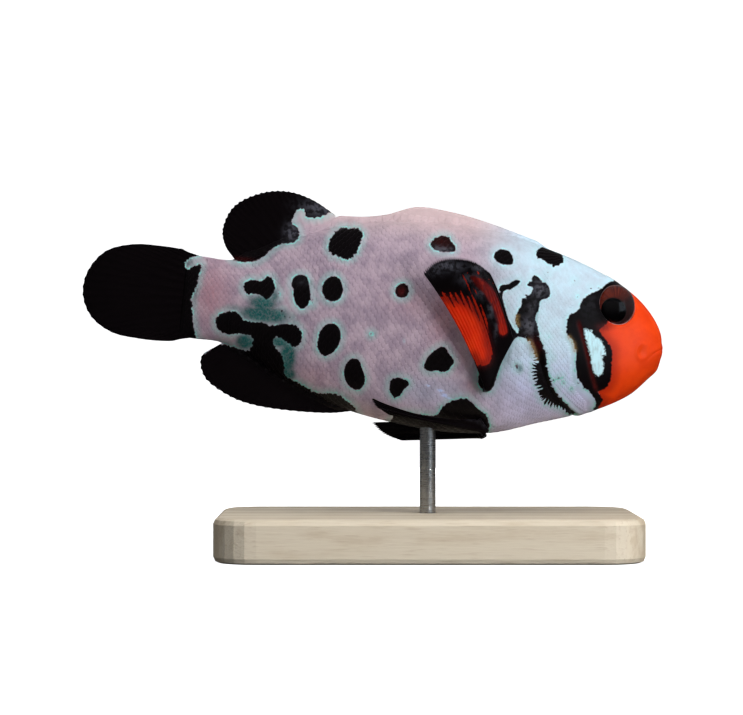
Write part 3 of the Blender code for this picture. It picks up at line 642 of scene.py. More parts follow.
# %% Dark spots and bands
SPOTS = {  # name: (size of the teeth along its edge, outline)
    "shoulder": (0.20, ((21.7, 11.2), (22.2, 11.8), (23.0, 12.0), (24.0, 11.85), (25.0, 11.4), (25.6, 10.5),
        (25.2, 9.8), (24.7, 9.6), (24.3, 9.3), (24.0, 9.7), (23.4, 9.7), (23.1, 10.0), (22.4, 10.3),
        (21.9, 10.5))),
    "nape": (0.10, ((15.9, 10.0), (16.2, 10.8), (16.8, 11.1), (17.4, 11.1), (18.0, 10.9), (18.3, 10.5),
        (18.6, 9.9), (18.6, 9.3), (18.3, 9.1), (17.6, 9.0), (16.9, 9.1), (16.2, 9.5))),
    "streak": (0.04, ((17.3, 4.8), (17.1, 5.9), (17.7, 6.25), (18.4, 6.45), (19.0, 6.95), (19.7, 7.1),
        (19.85, 6.8), (19.4, 6.25), (18.9, 5.9), (18.6, 5.65), (18.1, 5.6), (17.8, 5.4), (17.65, 5.1),
        (17.6, 4.6))),
    "back": (0.12, ((7.0, 10.9), (7.3, 11.5), (8.0, 12.0), (8.8, 12.2), (9.5, 12.0), (9.9, 11.4),
        (10.4, 11.0), (10.5, 10.4), (10.2, 10.1), (9.4, 10.0), (8.3, 10.0), (7.4, 10.3))),
    "breast": (0.07, ((7.7, -6.1), (8.0, -5.0), (8.6, -4.1), (9.3, -3.5), (9.9, -3.1), (10.5, -3.3),
        (11.0, -4.0), (11.5, -4.5), (11.8, -5.1), (11.4, -5.8), (11.0, -6.4), (10.3, -6.6), (9.5, -6.5),
        (8.6, -6.7), (8.1, -6.6))),
    "belly_front": (0.09, ((3.2, -9.3), (3.3, -8.4), (3.8, -8.1), (4.3, -7.95), (4.9, -8.1), (5.7, -8.3),
        (5.8, -8.9), (5.2, -9.6), (4.8, -10.3), (4.1, -10.8), (3.6, -10.4), (3.3, -9.9))),
    "belly_rear": (0.06, ((-3.3, -8.0), (-3.1, -6.9), (-2.6, -6.1), (-2.0, -5.9), (-1.4, -6.1),
        (-0.9, -7.0), (-0.4, -8.1), (-0.3, -9.1), (-0.8, -10.0), (-1.4, -10.2), (-2.2, -9.9),
        (-2.9, -9.2))),
    "flank_low": (0.06, ((-7.3, -3.8), (-7.1, -2.6), (-6.6, -1.8), (-5.9, -1.4), (-5.1, -1.4), (-4.5, -2.0),
        (-4.2, -2.8), (-4.3, -4.0), (-4.8, -5.0), (-5.5, -5.7), (-6.2, -5.95), (-6.9, -5.5), (-7.3, -4.7))),
    "flank_high": (0.06, ((-7.4, 3.3), (-7.1, 4.4), (-6.5, 5.0), (-5.9, 5.2), (-5.3, 5.0), (-4.8, 4.4),
        (-4.5, 3.4), (-4.7, 2.4), (-5.2, 1.9), (-6.1, 1.7), (-6.8, 2.0), (-7.2, 2.6))),
    "rear_high": (0.07, ((-11.7, 3.6), (-11.5, 4.4), (-11.0, 4.8), (-10.3, 4.95), (-9.7, 4.7), (-9.4, 4.1),
        (-9.1, 3.1), (-8.9, 2.1), (-9.1, 1.1), (-9.5, 0.5), (-9.9, 0.25), (-10.4, 0.5), (-10.9, 1.0),
        (-11.2, 1.8), (-11.4, 2.8))),
    "tail_high": (0.12, ((-18.3, 2.5), (-18.1, 3.1), (-17.5, 3.5), (-16.7, 3.6), (-16.0, 3.5), (-15.6, 3.8),
        (-15.0, 4.3), (-14.4, 4.0), (-14.2, 3.4), (-13.9, 2.8), (-14.2, 1.9), (-14.6, 1.3), (-15.0, 1.1),
        (-15.6, 1.5), (-16.2, 1.7), (-17.0, 1.7), (-17.6, 1.6), (-18.0, 1.9))),
    "saddle": (0.26, ((-7.1, 9.2), (-6.9, 10.2), (-6.5, 11.0), (-6.0, 11.6), (-5.4, 12.0), (-4.6, 11.9),
        (-3.9, 12.1), (-3.1, 12.0), (-2.5, 11.3), (-2.7, 10.2), (-3.0, 9.2), (-3.4, 8.3), (-4.0, 7.8),
        (-4.8, 7.7), (-5.6, 8.0), (-6.4, 8.1), (-6.9, 8.6))),
    "coin": (0.10, ((2.7, 4.1), (3.1, 4.8), (3.6, 5.1), (4.3, 4.9), (4.6, 4.2), (4.4, 3.4), (3.7, 3.1),
        (3.0, 3.3))),
}
BANDS = {
    "gill_patch": (0.12, ((21.8, 8.0), (22.3, 7.8), (23.0, 7.3), (23.8, 6.7), (24.1, 6.0), (24.15, 5.4),
        (23.9, 5.0), (23.4, 4.8), (22.9, 4.55), (22.8, 4.0), (22.8, 3.2), (22.45, 2.35), (22.5, 1.8),
        (22.8, 1.2), (23.0, 0.4), (23.2, -0.4), (21.7, -0.6), (20.4, -0.55), (20.35, 0.2), (19.9, 1.0),
        (19.7, 1.65), (19.8, 2.4), (20.1, 3.1), (20.4, 3.8), (20.35, 4.6), (21.0, 4.6), (20.7, 5.2),
        (21.3, 5.1), (21.6, 5.6), (21.7, 6.2), (20.9, 6.5), (21.1, 6.9), (21.5, 7.1), (21.4, 7.5))),
    "gill_band": (0.34, ((21.0, -0.5), (22.2, -0.3), (23.3, -0.6), (23.9, -1.8), (24.4, -3.0), (24.6, -4.0),
        (24.9, -5.2), (25.3, -6.2), (25.8, -7.2), (26.3, -8.0), (27.2, -8.8), (27.9, -9.3), (28.6, -10.2),
        (29.4, -10.7), (30.2, -12.4), (28.9, -11.0), (27.8, -10.4), (26.9, -9.9), (26.0, -9.8),
        (25.0, -9.5), (24.3, -9.0), (24.0, -8.2), (23.5, -7.0), (23.1, -6.2), (22.9, -5.4), (22.8, -4.7),
        (23.1, -4.3), (23.2, -3.9), (22.8, -2.7), (22.2, -1.6), (21.5, -0.9))),
    "shoulder_line": (0.05, ((17.3, 5.4), (17.7, 4.2), (18.4, 2.4), (19.0, 1.1), (19.7, 0.1), (20.4, -0.35),
        (21.2, -0.5), (21.2, -0.85), (20.2, -0.8), (19.4, -1.8), (18.6, -3.6), (18.0, -6.0), (17.4, -8.3),
        (16.4, -8.6), (15.4, -7.6), (15.6, -5.0), (16.6, -2.0), (17.0, 1.0), (16.8, 3.6))),
    "head_band": (0.16, ((35.0, 7.55), (34.2, 8.3), (32.9, 8.3), (31.9, 7.8), (31.3, 7.1), (30.6, 6.6),
        (29.8, 6.2), (29.0, 5.5), (28.6, 4.9), (28.4, 4.0), (28.0, 3.4), (27.3, 3.1), (27.0, 2.6),
        (26.9, 1.6), (26.9, 0.6), (27.3, 0.0), (27.9, -0.5), (28.2, -1.3), (28.6, -2.3), (28.6, -3.1),
        (28.7, -4.0), (28.9, -5.0), (29.1, -5.8), (29.7, -6.3), (30.1, -7.0), (30.7, -7.2), (31.3, -7.9),
        (31.8, -8.4), (31.9, -9.2), (31.7, -10.0), (31.3, -12.5), (32.2, -12.5), (32.3, -9.6), (32.7, -8.9),
        (32.8, -8.3), (32.4, -7.7), (32.1, -7.3), (33.0, -6.8), (33.5, -6.0), (33.7, -5.2), (33.7, -4.4),
        (33.6, -3.2), (33.6, -2.0), (33.3, -1.0), (32.7, -0.2), (31.9, 0.6), (31.5, 1.3), (32.1, 1.9),
        (32.6, 2.6), (32.6, 4.0), (32.8, 6.6), (34.0, 7.5))),
    "tail_bar": (0.22, ((-21.7, -2.4), (-21.3, -1.7), (-20.4, -1.2), (-19.4, -1.0), (-18.7, -1.2),
        (-18.2, -1.7), (-17.8, -2.1), (-16.5, -2.2), (-15.0, -2.2), (-14.2, -2.5), (-13.2, -2.3),
        (-12.2, -2.1), (-11.2, -2.0), (-10.3, -2.3), (-9.7, -3.0), (-9.6, -4.0), (-9.9, -4.8),
        (-10.4, -5.1), (-11.0, -4.9), (-11.8, -4.4), (-12.6, -4.0), (-13.3, -4.0), (-13.5, -4.8),
        (-13.0, -5.5), (-12.3, -6.2), (-11.9, -7.0), (-11.6, -8.0), (-11.6, -8.8), (-11.0, -9.4),
        (-10.0, -9.8), (-9.0, -10.2), (-8.0, -10.7), (-7.0, -11.1), (-6.0, -11.2), (-4.8, -11.0),
        (-3.6, -11.2), (-2.6, -11.8), (-1.8, -12.3), (-1.0, -13.2), (-0.7, -14.6), (-3.0, -19.0),
        (-26.0, -19.0), (-26.0, -8.0), (-22.8, -7.2), (-21.9, -6.3), (-21.0, -5.8), (-20.3, -5.7),
        (-19.0, -5.9), (-17.5, -6.2), (-16.6, -6.1), (-16.3, -5.0), (-16.5, -4.2), (-17.6, -4.0),
        (-18.6, -4.0), (-19.4, -4.2), (-20.4, -4.1), (-21.2, -3.7), (-21.6, -3.0))),
    "tail_fin": (0.22, ((-24.8, 6.7), (-25.1, 6.2), (-26.0, 5.9), (-26.6, 5.3), (-26.7, 4.7), (-26.4, 4.2),
        (-26.0, 4.2), (-25.6, 4.6), (-25.0, 4.9), (-24.4, 5.0), (-24.5, 4.2), (-24.7, 3.3), (-24.7, 2.6),
        (-24.9, 1.7), (-25.2, 1.0), (-25.4, 0.2), (-25.2, -0.4), (-25.1, -1.3), (-25.0, -2.0),
        (-24.8, -3.0), (-24.6, -3.8), (-24.4, -4.6), (-24.2, -5.2), (-24.1, -7.0), (-43.0, -9.0),
        (-44.0, 0.0), (-42.0, 9.5), (-24.6, 9.5))),
    "back_fin": (0.14, ((-21.2, 7.0), (-20.6, 6.5), (-20.0, 6.1), (-19.0, 5.95), (-18.2, 6.0), (-17.4, 6.1),
        (-16.7, 6.4), (-16.0, 6.9), (-15.4, 7.5), (-14.8, 8.2), (-14.0, 8.8), (-13.0, 9.1), (-12.3, 9.2),
        (-11.6, 9.6), (-11.3, 10.3), (-11.4, 11.0), (-11.7, 11.5), (-12.3, 11.8), (-12.5, 12.3),
        (-12.3, 13.0), (-12.1, 13.6), (-11.5, 14.1), (-11.0, 14.1), (-10.8, 13.6), (-10.6, 13.1),
        (-10.1, 13.0), (-9.2, 13.05), (-8.4, 13.3), (-7.6, 13.8), (-6.9, 14.3), (-6.4, 15.0), (-8.0, 18.5),
        (-24.0, 18.5), (-24.5, 9.0))),
    "pelvic_patch": (0.14, ((10.0, -12.7), (10.5, -12.0), (11.0, -11.2), (12.0, -10.5), (12.8, -10.2),
        (13.6, -10.0), (14.3, -10.1), (15.0, -10.6), (15.8, -11.3), (16.6, -11.7), (17.1, -12.3),
        (17.5, -13.2), (17.4, -14.2), (16.8, -16.0), (10.6, -17.0), (4.0, -17.0), (3.7, -14.4),
        (4.5, -13.1), (6.5, -12.7), (8.5, -12.8))),
}
CHEEK_PATCH = ((29.3, 1.1), (30.0, 1.15), (30.5, 1.0), (30.7, 0.5), (31.2, 0.2), (31.9, -0.2), (32.3, -0.9),
               (32.6, -1.7), (32.7, -2.2), (32.3, -2.3), (32.4, -3.0), (32.6, -4.0), (32.5, -4.6),
               (32.0, -5.1), (31.5, -5.0), (31.0, -4.4), (30.7, -3.2), (30.4, -2.0), (29.9, -0.8),
               (29.5, 0.3))
ORANGE_FACE = ((35.0, 9.2), (34.6, 7.6), (32.6, 6.6), (31.6, 5.0), (31.0, 3.0), (31.0, 1.7), (31.6, 0.4),
               (32.6, -0.6), (33.2, -2.0), (33.4, -4.5), (33.0, -6.2), (31.9, -7.1), (32.4, -8.2),
               (31.9, -9.4), (32.0, -13.0), (44.0, -10.0), (44.0, 8.0))
print("spots:", len(SPOTS), "bands:", len(BANDS))

# %% [markdown]
# ## Soft tints and the two sides
# Between the hard marks the flesh shifts softly: peach along the back, rose before the tail, pale blue on
# the head, a teal bloom where dark marks crowd together. These are soft round weights. A clownfish's two
# sides are never the same, so on the left the same kinds of spots sit a little elsewhere.

# %% All fields of the skin
FRECKLES = ((30.8, 7.1, 0.10), (29.8, 6.9, 0.08), (28.0, 5.6, 0.10), (27.4, 7.7, 0.08), (24.8, 9.6, 0.07),
            (23.6, 8.5, 0.08), (26.4, -5.9, 0.12), (26.8, -5.7, 0.09), (27.2, -6.5, 0.10),
            (25.8, -6.3, 0.09), (28.3, -7.2, 0.08), (25.1, -3.2, 0.07), (24.6, -2.6, 0.08),
            (28.75, -4.6, 0.12), (29.2, -6.3, 0.14), (24.4, -0.3, 0.08), (20.5, -4.8, 0.17),
            (20.6, -5.1, 0.15), (0.0, -2.3, 0.14), (-8.6, 1.6, 0.12), (-8.6, 1.1, 0.10), (-13.3, 2.1, 0.12),
            (-13.4, 1.6, 0.10), (-12.7, -0.3, 0.12), (-12.2, -1.0, 0.12), (-11.5, -1.1, 0.10))
TEAL = ((-15.0, -1.0, 3.6, 1.2, 1.0), (-15.4, 0.5, 2.2, 1.2, 0.85), (-13.9, 1.6, 0.7, 1.4, 0.6),
        (-11.3, -6.6, 1.2, 2.5, 1.0), (-11.0, -8.9, 1.2, 0.9, 0.9), (-17.3, -5.0, 1.4, 1.1, 1.0),
        (-12.6, -4.6, 1.4, 0.8, 0.9), (-19.0, -0.5, 2.0, 0.6, 0.4), (-16.6, 1.1, 1.6, 0.7, 0.4),
        (13.0, -9.2, 3.2, 1.4, 0.24), (18.0, -10.0, 1.8, 2.0, 0.12), (8.0, -9.8, 4.6, 2.2, 0.22),
        (21.0, -5.1, 0.5, 0.7, 0.6), (20.4, -3.0, 1.0, 1.6, 0.2), (-24.9, 2.0, 0.5, 4.5, 0.35),
        (-26.0, 5.2, 0.8, 0.8, 0.4), (-4.0, -11.2, 3.0, 0.5, 0.35), (-12.4, 13.4, 0.8, 0.9, 0.3),
        (9.0, -6.5, 5.5, 3.4, 0.15), (19.2, -3.6, 0.8, 2.6, 0.3))
ROSE = ((-22.6, 1.0, 2.6, 4.5, 0.6), (-20.4, -2.6, 2.0, 2.0, 0.3), (9.6, 1.0, 2.0, 3.6, 0.55),
        (6.0, 2.4, 4.0, 2.4, 0.25), (-19.4, -4.9, 2.2, 0.9, 0.4), (-7.5, -8.7, 3.0, 1.6, 0.25),
        (14.6, -8.2, 1.4, 0.9, 0.35), (12.4, -4.6, 1.6, 1.6, 0.3))
# Dark red stains; the blob under the eye is painted shade beneath it, the others are dark red and brown
# stains.
WINE_AND_SHADE = ((32.0, 1.7, 0.9, 0.55, 0.8), (22.7, -1.9, 0.9, 1.2, 0.75), (3.6, 4.0, 0.5, 0.6, 0.9),
        (-19.0, 6.3, 1.6, 0.3, 0.35), (20.45, -4.75, 0.22, 0.3, 1.0), (8.5, 11.3, 1.5, 0.9, 0.35))
# Painted sheen: grey patches painted onto the black where its glossy skin would catch the light.
PAINTED_SHEEN = ((22.8, 6.2, 1.2, 1.3, 1.0), (21.9, 1.0, 1.3, 1.2, 0.9), (22.0, 3.6, 0.9, 1.2, 0.45),
         (-12.4, 10.6, 0.9, 1.3, 1.0), (-8.9, 14.4, 2.4, 1.1, 0.8), (8.8, 10.3, 2.0, 0.45, 1.0),
         (29.8, 4.6, 1.4, 2.0, 0.12), (-10.3, 4.2, 0.9, 0.6, 0.3))
AMBER_LINES = (
    ((21.5, -0.75), (22.3, -1.6), (22.9, -2.7), (23.3, -4.1)),
    ((20.0, 2.5), (19.9, 1.6), (20.3, 0.5)),
    ((27.0, 0.2), (28.0, -0.9), (28.5, -2.4)),
)
CHIP_SEED = 11


def spot_shapes(left):
    """Outlines of the spots; those of the left side are moved and turned a little."""
    random = np.random.default_rng(CHIP_SEED)
    shapes = []
    for teeth, outline in SPOTS.values():
        p = rounded(outline)
        if left:
            angle, size = random.uniform(-0.5, 0.5), random.uniform(0.85, 1.12)
            centre = p.mean(0)
            spin = np.array([[math.cos(angle), math.sin(angle)], [-math.sin(angle), math.cos(angle)]])
            p = (p - centre) @ spin * size + centre + random.uniform((-1.3, -0.9), (1.3, 0.6))
        shapes.append((teeth, p))
    return shapes


BAND_SHAPES = [(teeth, rounded(outline)) for teeth, outline in BANDS.values()]
PATCH_SHAPE, FACE_SHAPE = rounded(CHEEK_PATCH), rounded(ORANGE_FACE)


def dark_field(drawn, shapes, freckles):
    """Distance to the nearest dark mark, the run along its edge and the size of its teeth."""
    best = np.full(len(drawn), FAR)
    run = np.zeros(len(drawn))
    teeth = np.full(len(drawn), 0.08)
    for number, (size, shape) in enumerate(shapes):
        distance, along = outline_distance(drawn, shape)
        closer = distance < best
        best[closer], run[closer], teeth[closer] = distance[closer], along[closer] + 40.0 * number, size
    for x, z, radius in freckles:
        distance = np.hypot(drawn[:, 0] - x, drawn[:, 1] - z) - radius
        closer = distance < best
        best[closer], teeth[closer] = distance[closer], 0.05
    return np.column_stack([best, run, teeth])


NAPE_GAP = 1.6  # mm kept clear on each side of the ridge of the nape
COMB_LINE = ((22.7, -3.9), (23.0, -5.2), (23.5, -6.5), (24.2, -7.8), (25.1, -9.0), (26.2, -9.9))
FLECKS = ((8.5, -8.7, 0.35, 0.16, 1.3), (10.3, -9.2, 0.4, 0.22, 1.6), (10.9, -9.8, 0.5, 0.22, 1.6),
          (11.6, -10.2, 0.5, 0.16, 1.3), (9.3, -7.9, 0.2, 0.12, 0.9), (13.2, -9.3, 0.2, 0.14, 0.9),
          (4.6, -2.8, 0.14, 0.3, 0.7), (9.5, -9.6, 5.5, 2.4, 0.35))


def body_fields(points, drawn):
    left = points[:, 1] > 0
    marks = np.empty((len(points), 3))
    for mask, shapes in ((~left, spot_shapes(False)), (left, spot_shapes(True))):
        marks[mask] = dark_field(drawn[mask], shapes + BAND_SHAPES, FRECKLES)
    comb, _ = along_line(drawn, COMB_LINE)
    marks[:, 2] += 0.55 * bell(comb, 0.9)
    u, v = drawn[:, 0], drawn[:, 1]
    on_nape = (u > 12.0) & (u < 29.0) & (v > 5.0)
    marks[on_nape, 0] = np.maximum(marks[on_nape, 0], NAPE_GAP - np.abs(points[on_nape, 1]))
    warm, _ = outline_distance(drawn, FACE_SHAPE)
    patch, _ = outline_distance(drawn, PATCH_SHAPE)
    pearl = ease(u, 11.5, 22.5) * (0.5 + 0.5 * ease(v, -12.0, -2.0))
    peach = ease(v, 10.0, 15.5) * (1 - ease(u, 14.0, 23.0)) * ease(u, -16.0, -7.0)
    pearl = np.maximum(pearl, blob_weight(drawn, FLECKS))
    teal, rose = blob_weight(drawn, TEAL), blob_weight(drawn, ROSE)
    # Dark red stains, some of them painted shade, and the painted sheen on the black.
    wine, sheen = blob_weight(drawn, WINE_AND_SHADE), blob_weight(drawn, PAINTED_SHEEN)
    slit, place = along_line(drawn, CHEEK_SLIT)
    # A faint dark red in the nostril's hollow: painted shade in the pit.
    wine = np.maximum(wine, 0.2 * bell(np.hypot(*((drawn - NOSTRIL) / NOSTRIL_RADII).T), 0.6))
    # Dark red along the cheek's slit: partly its own colour, partly painted shade in the groove.
    wine = np.maximum(wine, bell(slit - 0.05, 0.24) * ease(place, 0, 0.1) * (1 - ease(place, 0.9, 1)))
    amber = np.zeros(len(drawn))
    for line in AMBER_LINES:
        away, place = along_line(drawn, line)
        amber = np.maximum(amber, bell(away, 0.28) * ease(place, 0, 0.15) * (1 - ease(place, 0.85, 1)))
    tints = np.column_stack([warm, pearl, peach])
    hues = np.column_stack([teal, rose, amber])
    deeps = np.column_stack([wine, sheen, patch])
    return {"marks": marks, "tints": tints, "hues": hues, "deeps": deeps}


body_layers = body_fields(flat_points, body_drawn)
print("share of the body that is dark:", round(float((body_layers["marks"][:, 0] < 0).mean()), 2))

# %% Fields of the fins
FIN_BLACK = ((5.0, 3.0), (7.6, 3.4), (8.5, 3.5), (9.7, 3.7), (11.0, 3.75), (12.4, 3.6), (13.5, 3.1),
             (14.6, 2.1), (15.5, 0.9), (16.0, -0.4), (16.4, -1.7), (16.9, -3.4), (16.7, -4.7), (16.0, -5.2),
             (15.0, -5.1), (14.3, -4.6), (13.0, -9.8), (19.0, -9.8), (21.0, -2.0), (21.0, 0.5), (18.6, 5.5),
             (16.0, 9.0), (10.0, 11.0), (5.0, 9.5))
# The dark red panel of the side fin: partly its own red, partly painted shade where its front face turns from
# the light.
FIN_PANEL = ((13.1, 6.9), (14.3, 6.7), (15.4, 6.0), (16.4, 5.0), (17.4, 3.1), (18.3, 1.1), (18.7, -0.3),
             (18.2, -0.8), (17.7, -0.4), (17.3, 1.2), (16.6, 2.9), (15.4, 4.6), (14.0, 5.8))
# Painted sheen on the side fin: grey-blue highlights painted along its crest and top.
FIN_PAINTED_SHEEN = ((9.6, 8.2, 2.6, 0.8, 0.9), (8.0, 7.4, 1.2, 0.8, 0.5), (12.8, 6.6, 1.4, 0.9, 0.6),
             (14.6, 4.9, 1.0, 1.0, 0.6), (16.2, 2.6, 0.5, 1.2, 0.6), (17.2, 0.2, 0.3, 1.4, 0.4),
             (14.0, 8.2, 1.6, 0.4, 0.5))
FIN_BLACK_SHAPE, FIN_PANEL_SHAPE = rounded(FIN_BLACK), rounded(FIN_PANEL)


def fin_fields(name, grid, spread):
    """Fields of one fin: black ones share the body's outlines, the side fins have their own."""
    points = grid.reshape(-1, 3)
    drawn = on_drawing(points)
    if not name.startswith("p"):
        return body_fields(points, drawn)
    count = len(points)
    zero = np.zeros(count)
    marks = np.column_stack([np.full(count, -FAR), zero, zero])
    layers = {"marks": marks, "tints": np.column_stack([zero + FAR, zero, zero]),
              "hues": np.zeros((count, 3)), "deeps": np.column_stack([zero, zero, zero + FAR])}
    if name.startswith("pelvic"):
        # A thin painted highlight line along each pelvic blade, held as painted sheen.
        layers["deeps"][:, 1] = 0.2 * bell(drawn[:, 1] + 0.25 * (drawn[:, 0] - 12.0) + 12.1, 0.25)
        return layers
    dark, _ = outline_distance(drawn, FIN_BLACK_SHAPE)
    panel, _ = outline_distance(drawn, FIN_PANEL_SHAPE)
    fan = np.broadcast_to(spread[:, None], (grid.shape[0], grid.shape[1] // 2))
    fan = np.concatenate([fan, fan], axis=1).reshape(-1)
    marks[:, 0] = np.maximum(dark, -panel)
    marks[:, 1] = fan * 6.0
    marks[:, 2] = np.where(panel < 0.6, 0.25, 0.25 + 0.9 * ease(drawn[:, 1], -1.5, 2.5))
    layers["tints"][:, 0] = -FAR
    # The panel painted dark red, stronger higher up: partly the fin's red, partly painted shade.
    panel_red_and_shade = ease(-panel, -0.4, 0.1) * (0.75 + 0.65 * ease(drawn[:, 1], 0.0, 4.5))
    wine_rim = 0.7 * bell(dark - 0.3, 0.6) * ease(panel, 0.0, 0.4)
    layers["deeps"][:, 0] = np.maximum(panel_red_and_shade, wine_rim)
    # Grey painted sheen on the fin's black.
    layers["deeps"][:, 1] = blob_weight(drawn, FIN_PAINTED_SHEEN)
    return layers


fin_layers = {name: fin_fields(name, *fin) for name, fin in fins.items()}
print("fins with fields:", ", ".join(fin_layers))

# %% [markdown]
# ## One skin
# Body and fins join into a single mesh, so nothing on the finished fish shows where the solid parts met.
# The unwrap lays each flank and each face of each fin flat at the same size, the way a hide is laid out.
# Each field goes onto the mesh as a named vector attribute that the shader reads back.

# %% Lay out the hide
ATLAS_GAP, ATLAS_WIDTH = 1.2, 112.0
NOSE_RINGS = 5


def with_round_nose(grid):
    """The body grid with its last ring drawn in to the tip of the snout along a quarter of an ellipse."""
    last = grid[-1]
    middle = last.mean(0)
    depth = np.array([SNOUT_TIP, 0.0, middle[2]]) - middle
    extra = []
    for step in range(1, NOSE_RINGS + 1):
        turned = 0.5 * math.pi * step / (NOSE_RINGS + 0.3)
        extra.append(middle + (last - middle) * math.cos(turned) + depth * math.sin(turned))
    return np.concatenate([grid, np.array(extra)])


def hide_lengths():
    """Distance along the hide at each row, and height above the widest line at each row and half column."""
    steps = np.hypot(np.diff(rows[:, 0]), np.diff(rows[:, 3]))
    across = np.concatenate([[0.0], np.cumsum(steps)])
    column = np.arange(HALF_COLUMNS + 1)
    level = np.array([np.interp(row[4], part[:, 1], column) for row, part in zip(rows, sections)])
    up = (column[None] - level[:, None]) / HALF_COLUMNS * girth[:, None]
    return across, level, up


HIDE_ACROSS, LEVEL_COLUMN, HIDE_UP = hide_lengths()


def shelf_places(sizes):
    """Corners for rectangles set on shelves, tallest first, and the height that they take."""
    places, x, y, shelf = {}, 0.0, 0.0, 0.0
    for name, (wide, tall) in sorted(sizes.items(), key=lambda item: -item[1][1]):
        if x + wide > ATLAS_WIDTH:
            x, y, shelf = 0.0, y + shelf + ATLAS_GAP, 0.0
        places[name] = (x + 0.5 * ATLAS_GAP, y + 0.5 * ATLAS_GAP)
        x, shelf = x + wide + ATLAS_GAP, max(shelf, tall)
    return places, y + shelf


def fin_size(grid):
    """How wide and how tall one face of a fin is when it is laid flat."""
    face = grid[:, : grid.shape[1] // 2]
    wide = np.linalg.norm(np.diff(face[:, int(face.shape[1] * 0.7)], axis=0), axis=1).sum()
    tall = np.linalg.norm(np.diff(face[face.shape[0] // 2], axis=0), axis=1).sum()
    return wide, tall


flank_size = (HIDE_ACROSS[-1] + 1.5, np.ptp(HIDE_UP))
sizes = {"flank_right": flank_size, "flank_left": flank_size}
for name, (grid, _) in fins.items():
    sizes[name + "_front"] = sizes[name + "_back"] = fin_size(grid)
places, atlas_height = shelf_places(sizes)
ATLAS_SIZE = max(ATLAS_WIDTH, atlas_height) + ATLAS_GAP
print("hide laid out in mm:", round(ATLAS_WIDTH), "x", round(float(atlas_height), 1))

# %% Join the skin
CORNERS = ((0, 0), (1, 0), (1, 1), (0, 1))


def grid_faces(count_rows, total):
    """Quads of a grid that closes round its columns, and strips that fill its two ends."""
    r, c = np.meshgrid(np.arange(count_rows - 1), np.arange(total), indexing="ij")
    quads = np.stack([(r + dr) * total + (c + dc) % total for dr, dc in CORNERS], axis=2).reshape(-1, 4)
    k = np.arange(total // 2 - 1)
    strip = np.stack([k, k + 1, total - 2 - k, total - 1 - k], axis=1)
    far_end = strip[:, ::-1] + (count_rows - 1) * total
    return np.concatenate([quads, strip, far_end])


def flat_corners(count_rows, total, lay):
    """Places on the hide for the corners of grid_faces; lay(row, column, quad's column) gives one place."""
    r, c = (n.reshape(-1) for n in np.meshgrid(np.arange(count_rows - 1), np.arange(total), indexing="ij"))
    quads = np.stack([lay(r + dr, c + dc, c) for dr, dc in CORNERS], axis=1)
    k = np.arange(total // 2 - 1)
    strip = np.stack([lay(0 * k, n, k) for n in (k, k + 1, k + 1, k)], axis=1)
    far_end = np.stack([lay(0 * k + count_rows - 1, n, k) for n in (k, k + 1, k + 1, k)], axis=1)
    return np.concatenate([quads, strip, far_end])


def lay_body(row, column, quad_column):
    left = quad_column >= HALF_COLUMNS
    from_keel = np.where(left, 2 * HALF_COLUMNS - column, column)
    inside = np.minimum(row, len(HIDE_ACROSS) - 1)
    across = HIDE_ACROSS[inside] + 0.25 * (row - inside)
    place = np.stack([across, HIDE_UP[inside, from_keel] - HIDE_UP.min()], axis=-1)
    return place + np.where(left[:, None], places["flank_left"], places["flank_right"])


def lay_fin(name, grid):
    half = grid.shape[1] // 2
    wide, tall = sizes[name + "_front"]

    def lay(row, column, quad_column):
        back = quad_column >= half
        out = np.clip(np.where(back, 2 * half - 1 - column, column), 0, half - 1)
        place = np.stack([row / (grid.shape[0] - 1) * wide, out / (half - 1) * tall], axis=-1)
        return place + np.where(back[:, None], places[name + "_back"], places[name + "_front"])

    return lay


def faces_out(points, faces):
    """Whether quads round a closed shape face outwards, from the sign of the volume that they enclose."""
    a, b, c, d = (points[faces[:, k]] - points.mean(0) for k in range(4))
    return float((a * (np.cross(b, c) + np.cross(c, d))).sum()) > 0


def mesh_object(name, points, faces, corners, layers):
    """A smooth mesh with its map OFBake and its fields as vector attributes."""
    mesh = bpy.data.meshes.new(name)
    mesh.vertices.add(len(points))
    mesh.vertices.foreach_set("co", points.astype(np.float32).reshape(-1))
    mesh.loops.add(faces.size)
    mesh.loops.foreach_set("vertex_index", faces.astype(np.int32).reshape(-1))
    mesh.polygons.add(len(faces))
    mesh.polygons.foreach_set("loop_start", np.arange(0, faces.size, faces.shape[1], dtype=np.int32))
    mesh.update(calc_edges=True)
    for layer, values in layers.items():
        attribute = mesh.attributes.new(layer, "FLOAT_VECTOR", "POINT")
        attribute.data.foreach_set("vector", values.astype(np.float32).reshape(-1))
    mesh.uv_layers.new(name="OFBake").data.foreach_set("uv", corners.astype(np.float32).reshape(-1))
    mesh.shade_smooth()
    obj = bpy.data.objects.new(name, mesh)
    bpy.context.scene.collection.objects.link(obj)
    return obj


nosed_grid = with_round_nose(host_grid)
nose_points = with_round_nose(body_grid)[len(body_grid):].reshape(-1, 3)
nose_layers = body_fields(nose_points, on_drawing(nose_points))
skin_fields = {key: np.concatenate([body_layers[key], nose_layers[key]]) for key in body_layers}
parts = [(nosed_grid, skin_fields, lay_body)]
parts += [(fins[name][0], fin_layers[name], lay_fin(name, fins[name][0])) for name in fins]
joined = {"points": [], "faces": [], "corners": [], **{key: [] for key in skin_fields}}
offset = 0
for grid, fields, lay in parts:
    points = grid.reshape(-1, 3)
    faces = grid_faces(*grid.shape[:2])
    corners = flat_corners(*grid.shape[:2], lay)
    turned = 1 if faces_out(points, faces) else -1
    joined["points"].append(points)
    joined["faces"].append(faces[:, ::turned] + offset)
    joined["corners"].append(corners[:, ::turned] / ATLAS_SIZE)
    for key in fields:
        joined[key].append(fields[key])
    offset += len(points)
body_faces = len(joined["faces"][0])
